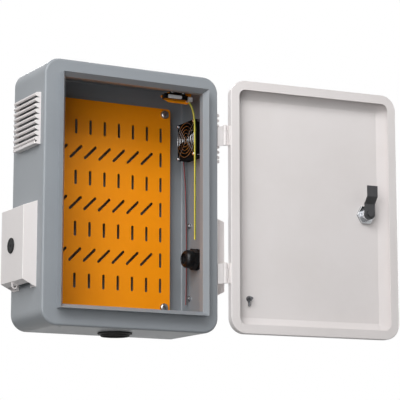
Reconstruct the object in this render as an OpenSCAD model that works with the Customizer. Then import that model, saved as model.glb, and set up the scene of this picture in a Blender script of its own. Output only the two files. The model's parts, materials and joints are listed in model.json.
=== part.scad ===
// Wall-mounted outdoor equipment cabinet with a fan, side hoods and an open door.
// Millimetres. Origin: centre of the rear mounting face. +Z is up, the front faces -Y, +X is the hinge side.

/* [Cabinet body] */
// Width of the body across its side walls
body_w = 400; // [360:5:460]
// Height of the body
body_h = 544; // [520:4:600]
// Depth of the body from the wall to the front frame
body_d = 160; // [155:1:200]
// Corner radius of the body and door seen from the front
corner_r = 34; // [26:1:36]
// Bend radius of the front and rear edges
bend_r = 5; // [3:0.5:8]
// Thickness of the folded body sheet
sheet = 1.5; // [1:0.1:2]
// Distance of the wall fixing holes from the body's sides
fix_in_x = 75; // [65:5:100]
// Distance of the wall fixing holes from the body's top and bottom
fix_in_z = 50; // [46:1:56]
// Diameter of each wall fixing hole
fix_d = 8.5; // [6:0.5:10]
// Distance of the drain hole from the front frame
drain_fwd = 23; // [15:1:40]
// Diameter of the drain hole in the floor
drain_d = 7; // [4:0.5:10]
// Distance of the drain hole from the lock side
drain_in = 50; // [40:5:80]

/* [Rain collar] */
// Width of the flat front frame beside the collar
collar_margin_x = 33; // [31:1:45]
// Height of the flat front frame above and below the collar
collar_margin_z = 32.5; // [30:0.5:40]
// How far the collar sits above the body's middle
collar_lift = 1.7; // [0:0.1:2]
// How far the collar stands out in front of the frame
collar_out = 21; // [14:0.5:22]
// Width of the collar's inward slope
slope_w = 8.5; // [6:0.5:12]
// Depth of the collar's inward slope
slope_d = 12.4; // [8:0.2:13]
// How far the collar's return reaches behind the frame
return_back = 5.5; // [3:0.5:6]

/* [Door] */
// How much narrower the door is than the body
door_trim_x = 1; // [0.5:0.1:3]
// How much lower the door is than the body
door_trim_z = 5; // [2:0.5:8]
// How far the door's middle sits below the body's middle
door_drop = 2; // [0:0.5:2]
// Depth of the door's side walls
door_side_d = 16; // [12:0.5:18]
// Depth of the door at its flat front
door_d = 26; // [25:0.5:34]
// Width of the sloped border round the door's flat front
border_w = 36; // [34:1:50]
// Width of the return lip round the door's inner side
lip_w = 19.5; // [12:0.5:22]
// Thickness of the door sheet
door_sheet = 1.5; // [1:0.1:1.8]
// Gap between the closed door's lip and the front frame
door_gap = 1; // [0.8:0.1:1.5]
// Angle that the door stands open
door_open = 175.2; // [0:0.2:180]

/* [Hinges] */
// Distance of the hinge axis outside the body's side
axis_out = 8.8; // [8:0.1:10]
// Distance of the hinge axis in front of the front frame
axis_fwd = 13.3; // [12.5:0.1:14]
// Height of each hinge
hinge_h = 42; // [30:1:60]
// Distance of the upper hinge's middle from the top
hinge_from_top = 125; // [90:0.5:150]
// Distance of the lower hinge's middle from the bottom
hinge_from_bottom = 126; // [90:0.5:150]
// Thickness of the hinge leaves
leaf_t = 2; // [1.5:0.1:2.4]
// Length of the leaf on the body's side
leaf_l = 14.5; // [13:0.5:15]
// Diameter of the hinge knuckles
knuckle_d = 9; // [8:0.5:11]
// Diameter of the hinge pins
pin_d = 5; // [4:0.5:6]
// Radial running gap between the pins and the door knuckles
pin_gap = 0.06; // [0.03:0.01:0.1]

/* [Mounting plate] */
// Distance of the mounting plate from the body's sides
plate_side = 43; // [38:1:60]
// Distance of the mounting plate from the body's top
plate_top = 45; // [38:0.5:60]
// Distance of the mounting plate from the body's bottom
plate_bottom = 52; // [38:0.5:60]
// Thickness of the mounting plate
plate_t = 2; // [1.5:0.1:3]
// Length of the studs that hold the plate off the back
stud_l = 20; // [12:1:30]
// Corner radius of the plate
plate_r = 6; // [2:1:12]
// Distance of the fixing screws from the plate's sides
screw_in_x = 14.8; // [11:0.1:18]
// Distance of the fixing screws from the plate's top and bottom
screw_in_z = 13; // [11:0.5:18]
// Number of slot columns
slot_cols = 9; // [5:2:9]
// Number of slot rows
slot_rows = 7; // [3:2:7]
// Distance of the outer slot columns from the plate's sides
col_in = 23; // [21:0.5:27]
// Distance of the end slot rows' middles from the plate's top and bottom
row_in = 59.5; // [50:0.5:70]
// Length of the upright slots
slot_l = 31.5; // [20:0.5:38]
// Length of the diagonal slots
diagonal_l = 40; // [26:1:42]
// Width of the slots
slot_w = 6; // [4:0.5:7]
// Head diameter of the plate screws
plate_screw_d = 18.5; // [10:0.5:20]

/* [Vent louvres] */
// Width of each louvre, front to back
vent_w = 112; // [96:1:116]
// Distance of each louvre's front edge from the front frame
vent_front = 17.5; // [12:0.5:22]
// Distance of each louvre's middle from the top
vent_from_top = 124.5; // [110:0.5:150]
// Number of blades
vent_blades = 9; // [6:1:11]
// Distance from blade to blade
blade_pitch = 11.4; // [9:0.1:12]
// How far the blade tips stand out from the wall
blade_out = 13; // [9:0.5:15]
// How far the blades drop from root to tip
blade_drop = 8.4; // [6:0.1:8.8]
// Thickness of the blades and cheeks
blade_t = 2.2; // [1.5:0.1:2.6]

/* [Fan] */
// Side of the square fan frame
fan_w = 80; // [70:1:82]
// Depth of the fan
fan_d = 25; // [20:1:30]
// Distance of the fan's middle from the front frame
fan_front = 92; // [84:0.5:98]
// Distance of the fan's middle from the top
fan_from_top = 119; // [110:0.5:130]
// Diameter of the fan's air way
fan_bore_d = 76; // [64:1:76]
// Diameter of the rotor's hub
hub_d = 30; // [24:1:36]
// Number of fan blades
fan_blades = 7; // [5:1:9]
// Diameter of the guard's wires
guard_wire = 1.8; // [1.4:0.1:2.2]
// Number of guard rings
guard_rings = 5; // [3:1:5]
// Number of ventilation slots in each side wall
wall_slots = 7; // [5:1:7]

/* [Side hoods] */
// Distance of each hood's front panel from the front frame
hood_front = 27.5; // [24:0.5:34]
// Width of each hood, front to back
hood_w = 113; // [108:1:120]
// How far each hood stands out from the side wall
hood_out = 30; // [30:0.5:34]
// Height of each hood at the wall
hood_h = 174.7; // [166:0.1:180]
// Distance of each hood's middle from the bottom
hood_from_bottom = 165; // [155:1:180]
// How far the hood's top slopes down to its outer face
hood_top_drop = 11; // [8:0.5:16]
// How far the hood's bottom slopes up to its outer face
hood_bottom_rise = 15; // [10:0.5:18]
// Width of the open slot under the hood beside the wall
hood_slot = 16; // [14.5:0.5:17]
// Diameter of the rubber plug in the hood's face
plug_d = 32; // [26:1:36]

/* [Cable entries] */
// Distance of the side cable entries from the front frame
entry_front = 88; // [84:1:92]
// Distance of the side cable entries from the bottom
entry_from_bottom = 166; // [158:1:175]
// Thread diameter of the cable gland
gland_d = 32; // [25:1:32]
// Diameter of the gland's flange
gland_flange_d = 46; // [44:1:50]
// Diameter of the cable hole through the gland's seal
cable_d = 14; // [8:1:18]
// Length of the gland inside the cabinet
gland_l = 35; // [32:1:38]
// Flange diameter of the rubber grommet in the floor
grommet_d = 72; // [64:1:80]

/* [Door switch] */
// Distance of the switch's middle from the front frame
switch_front = 42; // [41:0.5:46]
// Distance of the switch below the roof
switch_drop = 34.5; // [32:0.5:40]
// Distance of the switch's free end from the hinge-side wall
switch_in = 107.5; // [104:0.5:112]
// Length of the switch housing
switch_l = 53; // [50:1:54]
// Length of the switch lever from its pivot
lever_l = 28.5; // [24:0.5:31]

/* [Door lock] */
// Distance of the lock from the door's free edge
lock_in = 66; // [60:1:80]
// Height of the lock above the door's middle
lock_z = 3; // [-20:1:20]
// Diameter of the lock barrel
barrel_d = 28; // [24:1:30]
// Size of the lock nut across its flats
lock_nut_w = 38; // [36:1:40]
// Width of the cam
cam_w = 25; // [18:1:26]
// Length of the cam from the lock's axis to its tip
cam_l = 60; // [56:1:64]
// How far the cam's crank carries its tip towards the cabinet
cam_crank = 13; // [11:0.5:14]
// Thickness of the cam
cam_t = 3; // [2:0.5:3]

/* [Earthing and leads] */
// Distance of the door's earth stud from the hinge edge
stud_in = 51; // [48:1:70]
// Distance of the door's earth stud from the door's bottom
stud_from_bottom = 76; // [60:0.5:120]
// Diameter of the earth stud
earth_d = 6; // [5:0.5:6]
// Diameter of the earth wire
earth_wire_d = 4.2; // [3:0.1:5]
// Height that the earth wire hangs through
earth_wire_drop = 295; // [100:1:320]
// Width of the fan's twin lead
fan_lead_w = 3.6; // [3:0.1:4.2]
// Height that the fan's lead hangs through
fan_lead_drop = 312; // [150:1:320]

/* [Hidden] */
$fn = 48;

slate = [0.56, 0.59, 0.61];
cream = [0.87, 0.85, 0.84];
orange = [0.91, 0.54, 0.10];
bright_zinc = [0.75, 0.76, 0.78];
chrome = [0.80, 0.80, 0.82];
black = [0.08, 0.08, 0.08];
eps = 0.01;
fit_gap = 0.2;

far = 2 * (body_w + body_h + body_d);
side_x = body_w / 2;
inner_x = side_x - sheet;
front_y = -body_d;
top_z = body_h / 2;
inner_top = top_z - sheet;

door_w = body_w - door_trim_x;
door_h = body_h - door_trim_z;
plate_w = body_w - 2 * plate_side;
plate_h = body_h - plate_top - plate_bottom;
plate_z = (plate_bottom - plate_top) / 2;
col_pitch = (plate_w - 2 * col_in) / (slot_cols - 1);
row_pitch = (plate_h - 2 * row_in) / (slot_rows - 1);
vent_z = top_z - vent_from_top;
fan_z = top_z - fan_from_top;
hood_low = top_z - hood_from_bottom;
entry_low = top_z - entry_from_bottom;
hinge_up_z = top_z - hinge_from_top;
hinge_low_z = top_z - hinge_from_bottom;
switch_z = inner_top - switch_drop;
switch_x = inner_x - switch_in;
lock_level = lock_z - door_drop;
stud_low = door_h / 2 - stud_from_bottom;

// Points of an arc in a section, from angle a0 to a1
function arc(cx, cy, r, a0, a1, n = 6) =
    [for (i = [0:n]) [cx + r * cos(a0 + (a1 - a0) * i / n), cy + r * sin(a0 + (a1 - a0) * i / n)]];

// Rounded rectangle in the plane, about its middle
module rounded_rect(w, h, r) {
    square([w - 2 * r, h], center = true);
    square([w, h - 2 * r], center = true);
    for (x = [-1, 1], y = [-1, 1])
        translate([x * (w / 2 - r), y * (h / 2 - r)])
            circle(r);
}

// Slot with round ends, its length along the second axis
module slot_shape(l, w) {
    square([w, l - w], center = true);
    for (y = [-1, 1])
        translate([0, y * (l - w) / 2])
            circle(d = w, $fn = 16);
}

// Stands a flat outline, drawn as width and height, up so that its thickness t runs forwards from y = 0
module upright(t) {
    rotate([90, 0, 0])
        linear_extrude(t)
            children();
}

// Rounded frame swept from a section: u is measured outwards from the corner arcs' centres, v forwards
module swept_frame(w, h, r, section) {
    for (s = [0:3]) {
        run = (s % 2 == 0 ? h : w) - 2 * r;
        out = (s % 2 == 0 ? w : h) / 2 - r;
        rotate([0, -90 * s, 0])
            translate([out, 0, -run / 2])
                linear_extrude(run)
                    polygon([for (p = section) [p[0], -p[1]]]);
    }
    for (mx = [0, 1], mz = [0, 1])
        mirror([mx, 0, 0])
            mirror([0, 0, mz])
                translate([w / 2 - r, 0, h / 2 - r])
                    rotate([90, 0, 0])
                        rotate_extrude(angle = 90)
                            polygon(section);
}

// Mitred rectangular frame: u is measured inwards from the outer edge, v forwards
module mitred_frame(w, h, section, reach) {
    for (s = [0:3]) {
        run = (s % 2 == 0 ? h : w);
        out = (s % 2 == 0 ? w : h) / 2;
        front = max([for (p = section) p[1]]) + 1;
        rotate([0, -90 * s, 0])
            intersection() {
                translate([0, 0, -run / 2])
                    linear_extrude(run)
                        polygon([for (p = section) [out - p[0], -p[1]]]);
                upright(front)
                    polygon([[out, -run / 2], [out, run / 2],
                             [out - reach, run / 2 - reach], [out - reach, -run / 2 + reach]]);
            }
    }
}

// Cylinder of diameter d along +X from x0 to x1
module rod_x(d, x0, x1, fn = 48) {
    translate([x0, 0, 0])
        rotate([0, 90, 0])
            cylinder(d = d, h = x1 - x0, $fn = fn);
}

// Hexagon prism along +X from x0 to x1, w across its flats
module hex_x(w, x0, x1) {
    translate([x0, 0, 0])
        rotate([0, 90, 0])
            cylinder(d = w / cos(30), h = x1 - x0, $fn = 6);
}

module at_both_sides() {
    children();
    mirror([1, 0, 0])
        children();
}

// Cabinet shell
collar_w = body_w - 2 * collar_margin_x;
collar_h = body_h - 2 * collar_margin_z;
vent_y = front_y + vent_front + vent_w / 2;
fan_y = front_y + fan_front;
entry_y = front_y + entry_front;
hood_y = front_y + hood_front + hood_w / 2;
hinge_heights = [hinge_up_z, -hinge_low_z];
lock_x = side_x - door_w + lock_in;
barrel_end_y = front_y - door_gap - 5.5;
cam_seat_y = barrel_end_y + 0.3;
notch_below = cam_w / 2 + 2;
notch_above = cam_l * 0.52;
keeper_t = cam_seat_y + cam_crank - front_y - sheet - 1.2;
keeper_w = inner_x - bend_r - 1 - collar_w / 2 - 6;
wall_slot_w = 5;
wall_slot_pitch = 10;
wall_slot_l = min(fan_bore_d - 8, vent_w - 20);
wall_slot_y = min(fan_y, front_y + vent_front + vent_w - 6 - wall_slot_l / 2);
fan_hole_span = fan_w - 8.5;
fan_screw_d = 4;
hood_bolt_d = 5;
hood_bolt_ys = [hood_y - hood_w / 2 + 18.5, hood_y + hood_w / 2 - 18.5];
hood_bolt_in = 8.5;
hood_bolt_zs = [-hood_low + hood_h / 2 - hood_bolt_in, -hood_low - hood_h / 2 + hood_bolt_in];
hinge_screw_d = 5;
hinge_screw_y = front_y + 1.5 + leaf_l * 0.6;
hinge_screw_span = hinge_h * 0.55;
grommet_y = -body_d / 2;
grommet_neck_d = grommet_d - 12;

// Section of the folded side: flat back, bend, side, bend, flat front
function folded_section(t) =
    let (r = corner_r, b = bend_r, d = body_d)
    concat([[0, 0]],
           arc(r - b, b, b, -90, 0),
           arc(r - b, d - b, b, 0, 90),
           [[0, d], [0, d - t]],
           arc(r - b, d - b, b - t, 90, 0),
           arc(r - b, b, b - t, 0, -90),
           [[0, t]]);

// Sheet section of the rain collar: outer wall, inward slope and return
function collar_section(t) =
    let (k = slope_d / slope_w,
         drop = t * sqrt(1 + k * k),
         top = body_d + collar_out)
    [[0, body_d - t], [0, top], [slope_w, top - slope_d], [slope_w, body_d - return_back],
     [slope_w - t, body_d - return_back], [slope_w - t, top - k * (slope_w - t) - drop],
     [t, top - k * t - drop], [t, body_d - t]];

module side_wall_cuts() {
    cut = sheet + bend_r;
    // ventilation slots behind the louvre
    for (i = [0:wall_slots - 1])
        translate([side_x - cut, wall_slot_y - wall_slot_l / 2,
                   fan_z + (i - (wall_slots - 1) / 2) * wall_slot_pitch - wall_slot_w / 2])
            cube([2 * cut, wall_slot_l, wall_slot_w]);
    // cable gland hole
    translate([0, entry_y, -entry_low])
        rod_x(gland_d + 2 * fit_gap, side_x - cut, side_x + cut);
    // hood fixing holes
    for (y = hood_bolt_ys, z = hood_bolt_zs)
        translate([0, y, z])
            rod_x(hood_bolt_d + 2 * fit_gap, side_x - cut, side_x + cut, 24);
}

module fan_hole_places() {
    for (y = [-1, 1], z = [-1, 1])
        translate([0, fan_y + y * fan_hole_span / 2, fan_z + z * fan_hole_span / 2])
            children();
}

module hinge_screw_places() {
    for (h = hinge_heights, z = [-1, 1])
        translate([0, hinge_screw_y, h + z * hinge_screw_span / 2])
            children();
}

module cabinet_shell() {
    flat_w = body_w - 2 * corner_r;
    flat_h = body_h - 2 * corner_r;
    color(slate) {
        difference() {
            union() {
                swept_frame(body_w, body_h, corner_r, folded_section(sheet));
                upright(sheet)
                    square([flat_w, flat_h], center = true);
                translate([0, front_y + sheet, 0])
                    upright(sheet)
                        square([flat_w, flat_h], center = true);
            }
            // the way in through the front frame, which the collar lines
            translate([0, front_y + 2 * sheet, collar_lift])
                upright(4 * sheet)
                    square([collar_w, collar_h], center = true);
            // wall fixing holes
            for (x = [-1, 1], z = [-1, 1])
                translate([x * (side_x - fix_in_x), 1, z * (top_z - fix_in_z)])
                    rotate([90, 0, 0])
                        cylinder(d = fix_d, h = sheet + 2);
            // floor grommet hole and drain hole
            translate([0, grommet_y, -body_h / 2 - 1])
                cylinder(d = grommet_neck_d + 2 * fit_gap, h = sheet + 2);
            translate([drain_in - side_x, front_y + drain_fwd, -body_h / 2 - 1])
                cylinder(d = drain_d, h = sheet + 2, $fn = 24);
            at_both_sides()
                side_wall_cuts();
            fan_hole_places()
                rod_x(fan_screw_d + 2 * fit_gap, inner_x - 1, side_x + 1, 24);
            hinge_screw_places()
                rod_x(hinge_screw_d + 2 * fit_gap, inner_x - 1, side_x + 1, 24);
        }
    }
}

// Rain collar, folded from one sheet and mitred at its corners
module rain_collar() {
    color(slate)
        difference() {
            translate([0, 0, collar_lift])
                mitred_frame(collar_w, collar_h, collar_section(sheet), slope_w + 1);
            // notch that lets the cam's crank through the return
            translate([-collar_w / 2 + sheet + 1, cam_seat_y - 1.2, lock_level - notch_below])
                cube([slope_w, body_d / 2, notch_below + notch_above]);
        }
}

// Keeper behind the front frame, which the cam's tip swings behind
module lock_keeper() {
    color(bright_zinc)
        translate([-inner_x + bend_r + 1, front_y + sheet, lock_level - notch_below])
            cube([keeper_w, keeper_t, notch_below + notch_above]);
}

// Mounting plate on its studs
plate_back = -sheet - stud_l;
plate_front = plate_back - plate_t;
stud_d = 10;
plate_screw_shank = 6;

module plate_corner_places() {
    for (x = [-1, 1], z = [-1, 1])
        translate([x * (plate_w / 2 - screw_in_x), 0, plate_z + z * (plate_h / 2 - screw_in_z)])
            children();
}

module mounting_plate() {
    color(orange)
        difference() {
            translate([0, plate_back, plate_z])
                upright(plate_t)
                    difference() {
                        rounded_rect(plate_w, plate_h, plate_r);
                        for (c = [0:slot_cols - 1], r = [0:slot_rows - 1])
                            let (upright_slot = c == 0 || c == slot_cols - 1 || r % 2 == 0)
                            translate([(c - (slot_cols - 1) / 2) * col_pitch, (r - (slot_rows - 1) / 2) * row_pitch])
                                rotate(upright_slot ? 0 : -45)
                                    slot_shape(upright_slot ? slot_l : diagonal_l, slot_w);
                    }
            plate_corner_places()
                translate([0, plate_back + 1, 0])
                    upright(plate_t + 2)
                        circle(d = plate_screw_shank + 2 * fit_gap, $fn = 24);
        }
}

module plate_studs() {
    color(bright_zinc)
        plate_corner_places()
            translate([0, -sheet, 0])
                upright(stud_l)
                    difference() {
                        circle(d = stud_d);
                        circle(d = plate_screw_shank + 2 * fit_gap, $fn = 24);
                    }
}

// Pan head with a cross recess, its seat at x = 0 and its shank towards -X
module pan_screw(head_d, shank_d, l) {
    head_h = head_d * 0.36;
    r = head_d / 2;
    rim = head_h * 0.6;
    difference() {
        rotate([0, 90, 0])
            rotate_extrude()
                polygon(concat([[0, -l], [shank_d / 2, -l], [shank_d / 2, 0]],
                               arc(r - rim, head_h - rim, rim, 0, 75, 3),
                               [[0, head_h]]));
        for (a = [0, 90])
            rotate([a, 0, 0])
                translate([head_h * 0.45, -head_d * 0.25, -head_d * 0.04])
                    cube([head_h, head_d * 0.5, head_d * 0.08]);
    }
}

module plate_screws() {
    color(chrome)
        plate_corner_places()
            translate([0, plate_front, 0])
                rotate([0, 0, -90])
                    rotate([45, 0, 0])
                        pan_screw(plate_screw_d, plate_screw_shank, plate_t + stud_l * 0.6);
}

// Vent louvre, drawn for the right side
vent_h = vent_blades * blade_pitch + 4.4;

module louvre_blade(z) {
    // a sloped strip from the base frame to its tip
    translate([side_x, 0, z])
        rotate([90, 0, 0])
            linear_extrude(vent_w - blade_t, center = true)
                polygon([[0, 0], [blade_t, 0], [blade_out, -blade_drop],
                         [blade_out, -blade_drop - blade_t], [blade_t, -blade_t], [0, -blade_t]]);
}

module louvre_cheek() {
    // the saw-toothed end that closes the blades
    top = vent_z + vent_h / 2;
    bottom = vent_z - vent_h / 2;
    teeth = [for (i = [0:vent_blades - 1], p = [[blade_t, 0], [blade_out, -blade_drop],
                                                [blade_out, -blade_drop - blade_t]])
             [p[0], top - i * blade_pitch + p[1]]];
    rotate([90, 0, 0])
        linear_extrude(blade_t, center = true)
            translate([side_x, 0])
                polygon(concat([[0, top]], teeth, [[blade_out, bottom], [0, bottom]]));
}

module louvre() {
    top = vent_z + vent_h / 2;
    bottom = vent_z - vent_h / 2;
    color(cream)
        translate([0, vent_y, 0]) {
            for (i = [0:vent_blades - 1])
                louvre_blade(top - i * blade_pitch);
            for (y = [-1, 1])
                translate([0, y * (vent_w / 2 - blade_t / 2), 0])
                    louvre_cheek();
            // drip apron and floor under the last blade
            translate([side_x, -vent_w / 2 + blade_t / 2, bottom])
                cube([blade_out, vent_w - blade_t, blade_t]);
            translate([side_x + blade_out - blade_t, -vent_w / 2 + blade_t / 2, bottom])
                cube([blade_t, vent_w - blade_t,
                      vent_h - (vent_blades - 1) * blade_pitch - blade_drop - blade_t / 2]);
        }
}

module left_louvre() {
    mirror([1, 0, 0])
        louvre();
}

module right_louvre() {
    louvre();
}

// Side hood over a cable entry, drawn for the right side
hood_x = side_x + hood_out;
hood_ear_l = 26;
hood_ear_h = 15;
plug_neck_d = plug_d - 8;
eye_r = 6.5;
eye_hole_d = 8;
eye_drop = 12;

// Hood outline seen from the front, inset by the sheet t
function hood_outline(t) =
    let (top = -hood_low + hood_h / 2,
         bottom = -hood_low - hood_h / 2,
         kt = t * sqrt(1 + pow(hood_top_drop / hood_out, 2)),
         kb = t * sqrt(1 + pow(hood_bottom_rise / hood_out, 2)),
         back = t > 0 ? side_x - 1 : side_x,
         x1 = hood_x - t)
    [[back, top - kt - hood_top_drop * (back - side_x) / hood_out],
     [x1, top - kt - hood_top_drop * (x1 - side_x) / hood_out],
     [x1, bottom + kb + hood_bottom_rise * (x1 - side_x) / hood_out],
     [back, bottom + kb + hood_bottom_rise * (back - side_x) / hood_out]];

module hood() {
    bottom = -hood_low - hood_h / 2;
    // a point half-way through the bottom flap's sheet, x outside the wall
    function flap_point(x) = [side_x + x, bottom + hood_bottom_rise * x / hood_out + sheet / 2];
    eye_x = side_x + hood_slot + eye_r + 0.5;
    eye_z = flap_point(eye_x - side_x)[1] - eye_drop + eye_r;
    color(cream)
        difference() {
            union() {
                difference() {
                    translate([0, hood_y + hood_w / 2, 0])
                        upright(hood_w)
                            polygon(hood_outline(0));
                    translate([0, hood_y + hood_w / 2 - sheet, 0])
                        upright(hood_w - 2 * sheet)
                            polygon(hood_outline(sheet));
                    // open slot in the bottom beside the wall
                    translate([side_x - 1, hood_y - hood_w / 2 + sheet, bottom - 1])
                        cube([hood_slot + 1, hood_w - 2 * sheet, hood_bottom_rise + 10]);
                }
                // ears folded in from the end panels against the wall
                for (s = [-1, 1], z = hood_bolt_zs)
                    translate([side_x, hood_y + s * (hood_w / 2 - sheet / 2) - (s > 0 ? hood_ear_l : 0),
                               z - hood_ear_h / 2])
                        intersection() {
                            cube([sheet, hood_ear_l, hood_ear_h]);
                            translate([-side_x, far / 2, -z + hood_ear_h / 2])
                                upright(far)
                                    polygon(hood_outline(0));
                        }
                // sealing eye under the bottom flap
                translate([0, hood_y + sheet / 2, 0])
                    upright(sheet)
                        difference() {
                            intersection() {
                                translate([eye_x, eye_z]) {
                                    circle(eye_r);
                                    translate([-eye_r, 0])
                                        square([2 * eye_r, eye_drop]);
                                }
                                polygon([flap_point(0), flap_point(hood_out),
                                         [hood_x, bottom - eye_drop], [side_x, bottom - eye_drop]]);
                            }
                            translate([eye_x, eye_z])
                                circle(d = eye_hole_d);
                        }
            }
            // hole for the rubber plug
            translate([0, entry_y, -entry_low])
                rod_x(plug_neck_d + 2 * fit_gap, hood_x - 2 * sheet, hood_x + 1);
            for (y = hood_bolt_ys, z = hood_bolt_zs)
                translate([0, y, z])
                    rod_x(hood_bolt_d + 2 * fit_gap, side_x - 1, side_x + sheet + 1, 24);
        }
}

module left_hood() {
    mirror([1, 0, 0])
        hood();
}

module right_hood() {
    hood();
}

hood_nut_w = 9;
hood_nut_h = 4;

module hood_bolts() {
    color(bright_zinc)
        at_both_sides()
            for (y = hood_bolt_ys, z = hood_bolt_zs)
                translate([side_x + sheet, y, z])
                    pan_screw(hood_bolt_d * 1.7, hood_bolt_d, 2 * sheet + hood_nut_h + 1.5);
}

module hood_nuts() {
    color(bright_zinc)
        at_both_sides()
            for (y = hood_bolt_ys, z = hood_bolt_zs)
                translate([0, y, z])
                    difference() {
                        hex_x(hood_nut_w, inner_x - hood_nut_h, inner_x);
                        rod_x(hood_bolt_d, inner_x - hood_nut_h - 1, inner_x + 1, 24);
                    }
}

// Rubber plug in the hood's face, its groove round the sheet
module hood_plug() {
    r = plug_d / 2;
    n = plug_neck_d / 2;
    color(black)
        translate([hood_x, entry_y, -entry_low])
            rotate([0, 90, 0])
                rotate_extrude()
                    polygon([[0, -sheet - 3], [n - 2, -sheet - 3], [n + 2, -sheet], [n, -sheet], [n, 0],
                             [r, 0], [r, 1.2], [r - 1.2, 2.6], [r - 4, 3], [r - 5, 1.8],
                             [3.2, 1.8], [2.6, 3], [1.2, 3], [1.2, 1.2], [0, 1.2]]);
}

module left_hood_plug() {
    mirror([1, 0, 0])
        hood_plug();
}

module right_hood_plug() {
    hood_plug();
}

// Cable gland, drawn for the right side, its axis along X through the wall
gland_flange_t = 4;
gland_hex_w = 40;
gland_hex_l = 13;
gland_bore_d = 26;
gland_thread_out = 9.5;
gland_locknut_t = 6;
cap_mouth_d = 22;
nose_x = inner_x - gland_l;

module at_entry() {
    translate([0, entry_y, -entry_low])
        children();
}

module gland_body() {
    hex_x0 = inner_x - gland_flange_t - gland_hex_l;
    color(black)
        at_entry()
            difference() {
                union() {
                    rod_x(gland_flange_d, inner_x - gland_flange_t, inner_x);
                    hex_x(gland_hex_w, hex_x0, inner_x - gland_flange_t + eps);
                    rod_x(gland_d, inner_x - eps, side_x + gland_thread_out);
                }
                rod_x(gland_bore_d, hex_x0 - 1, side_x + gland_thread_out + 1);
            }
}

module gland_cap() {
    // domed cap with a wide mouth
    x0 = inner_x - gland_flange_t - gland_hex_l;
    l = x0 - nose_x;
    r = gland_hex_w / 2 - 0.5;
    bend = min(10, l * 0.6);
    color(black)
        at_entry()
            translate([x0, 0, 0])
                rotate([0, -90, 0])
                    rotate_extrude()
                        polygon(concat([[gland_bore_d / 2, 0], [r, 0]],
                                       arc(r - bend, l - bend, bend, 0, 72),
                                       [[cap_mouth_d / 2 + 1.5, l], [cap_mouth_d / 2, l - 1.5],
                                        [cap_mouth_d / 2, l - 5], [gland_bore_d / 2, l - 5]]));
}

module gland_seal() {
    x0 = inner_x - gland_flange_t - gland_hex_l;
    color(black)
        at_entry()
            difference() {
                rod_x(gland_bore_d, nose_x + 5, x0 + gland_hex_l);
                rod_x(cable_d, nose_x, x0 + gland_hex_l + 1);
            }
}

module gland_locknut() {
    color(black)
        at_entry()
            difference() {
                hex_x(gland_hex_w, side_x, side_x + gland_locknut_t);
                rod_x(gland_d, side_x - 1, side_x + gland_locknut_t + 1);
            }
}

module left_gland_body() {
    mirror([1, 0, 0])
        gland_body();
}

module left_gland_cap() {
    mirror([1, 0, 0])
        gland_cap();
}

module left_gland_seal() {
    mirror([1, 0, 0])
        gland_seal();
}

module left_gland_locknut() {
    mirror([1, 0, 0])
        gland_locknut();
}

module right_gland_body() {
    gland_body();
}

module right_gland_cap() {
    gland_cap();
}

module right_gland_seal() {
    gland_seal();
}

module right_gland_locknut() {
    gland_locknut();
}

// Rubber grommet in the floor: flange below, groove round the sheet, lip inside and a thin web
module floor_grommet() {
    r = grommet_d / 2;
    n = grommet_neck_d / 2;
    color(black)
        translate([0, grommet_y, -body_h / 2])
            rotate_extrude()
                polygon([[0, -3], [n - 5, -3], [n - 4, -8], [n - 1.5, -8.5], [n, -7], [n + 1, -4],
                         [r - 1, -3.5], [r, -2.5], [r, -1], [r - 1, 0], [n, 0], [n, sheet],
                         [n + 4, sheet], [n + 2, sheet + 4], [n - 3, sheet + 4], [n - 4, -1.5], [0, -1.5]]);
}

// Axial fan on the hinge-side wall, blowing out through the wall slots
fan_face = inner_x - fan_d;
shaft_d = 3;
boss_t = 4;
hub_gap = 1;
rotor_x0 = fan_face + 2;
rotor_x1 = inner_x - boss_t - hub_gap;

module fan_frame() {
    color(black)
        translate([0, fan_y, fan_z])
            difference() {
                union() {
                    difference() {
                        translate([fan_face, 0, 0])
                            rotate([90, 0, 90])
                                linear_extrude(fan_d)
                                    rounded_rect(fan_w, fan_w, 4);
                        rod_x(fan_bore_d, fan_face - 1, inner_x + 1, 96);
                        // waist between the two flanges, cut from the corners only
                        for (a = [0:90:270])
                            rotate([a, 0, 0])
                                translate([fan_face + 4, fan_w / 2 - 5.4, fan_w / 2 - 5.4])
                                    cube([fan_d - 8, 6, 6]);
                    }
                    // motor boss and its four stays at the wall side
                    rod_x(hub_d, inner_x - boss_t, inner_x);
                    for (a = [45:90:315])
                        rotate([a, 0, 0])
                            translate([inner_x - boss_t, hub_d / 2 - 2, -2])
                                cube([boss_t, (fan_bore_d - hub_d) / 2 + 3, 4]);
                }
                // screw holes and the shaft's bearing
                for (y = [-1, 1], z = [-1, 1])
                    translate([0, y * fan_hole_span / 2, z * fan_hole_span / 2])
                        rod_x(fan_screw_d + 2 * fit_gap, fan_face - 1, inner_x + 1, 24);
                rod_x(shaft_d + 2 * pin_gap, inner_x - boss_t - 1, inner_x + 1);
            }
}

module fan_rotor() {
    tip_r = fan_bore_d / 2 - 1.5;
    blade_l = rotor_x1 - rotor_x0 - 2;
    color(black)
        translate([0, fan_y, fan_z]) {
            rod_x(hub_d - 1, rotor_x0, rotor_x1);
            rod_x(shaft_d, rotor_x1 - 1, inner_x - 0.5);
            intersection() {
                rod_x(2 * tip_r, rotor_x0 + 1, rotor_x1 - 1, 96);
                for (i = [0:fan_blades - 1])
                    rotate([i * 360 / fan_blades, 0, 0])
                        translate([(rotor_x0 + rotor_x1) / 2, 0, hub_d / 2 - 3])
                            rotate([0, 0, 38])
                                translate([-blade_l, -0.8, 0])
                                    cube([2 * blade_l, 1.6, tip_r]);
            }
        }
}

// Finger guard: rings on two crossed wires that end in screw eyes
guard_x = fan_face - guard_wire / 2;
eye_wire_r = 3.4;

module ring_x(r, wire, fn = 48) {
    rotate([0, 90, 0])
        rotate_extrude($fn = fn)
            translate([r, 0])
                circle(d = wire, $fn = 16);
}

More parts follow.
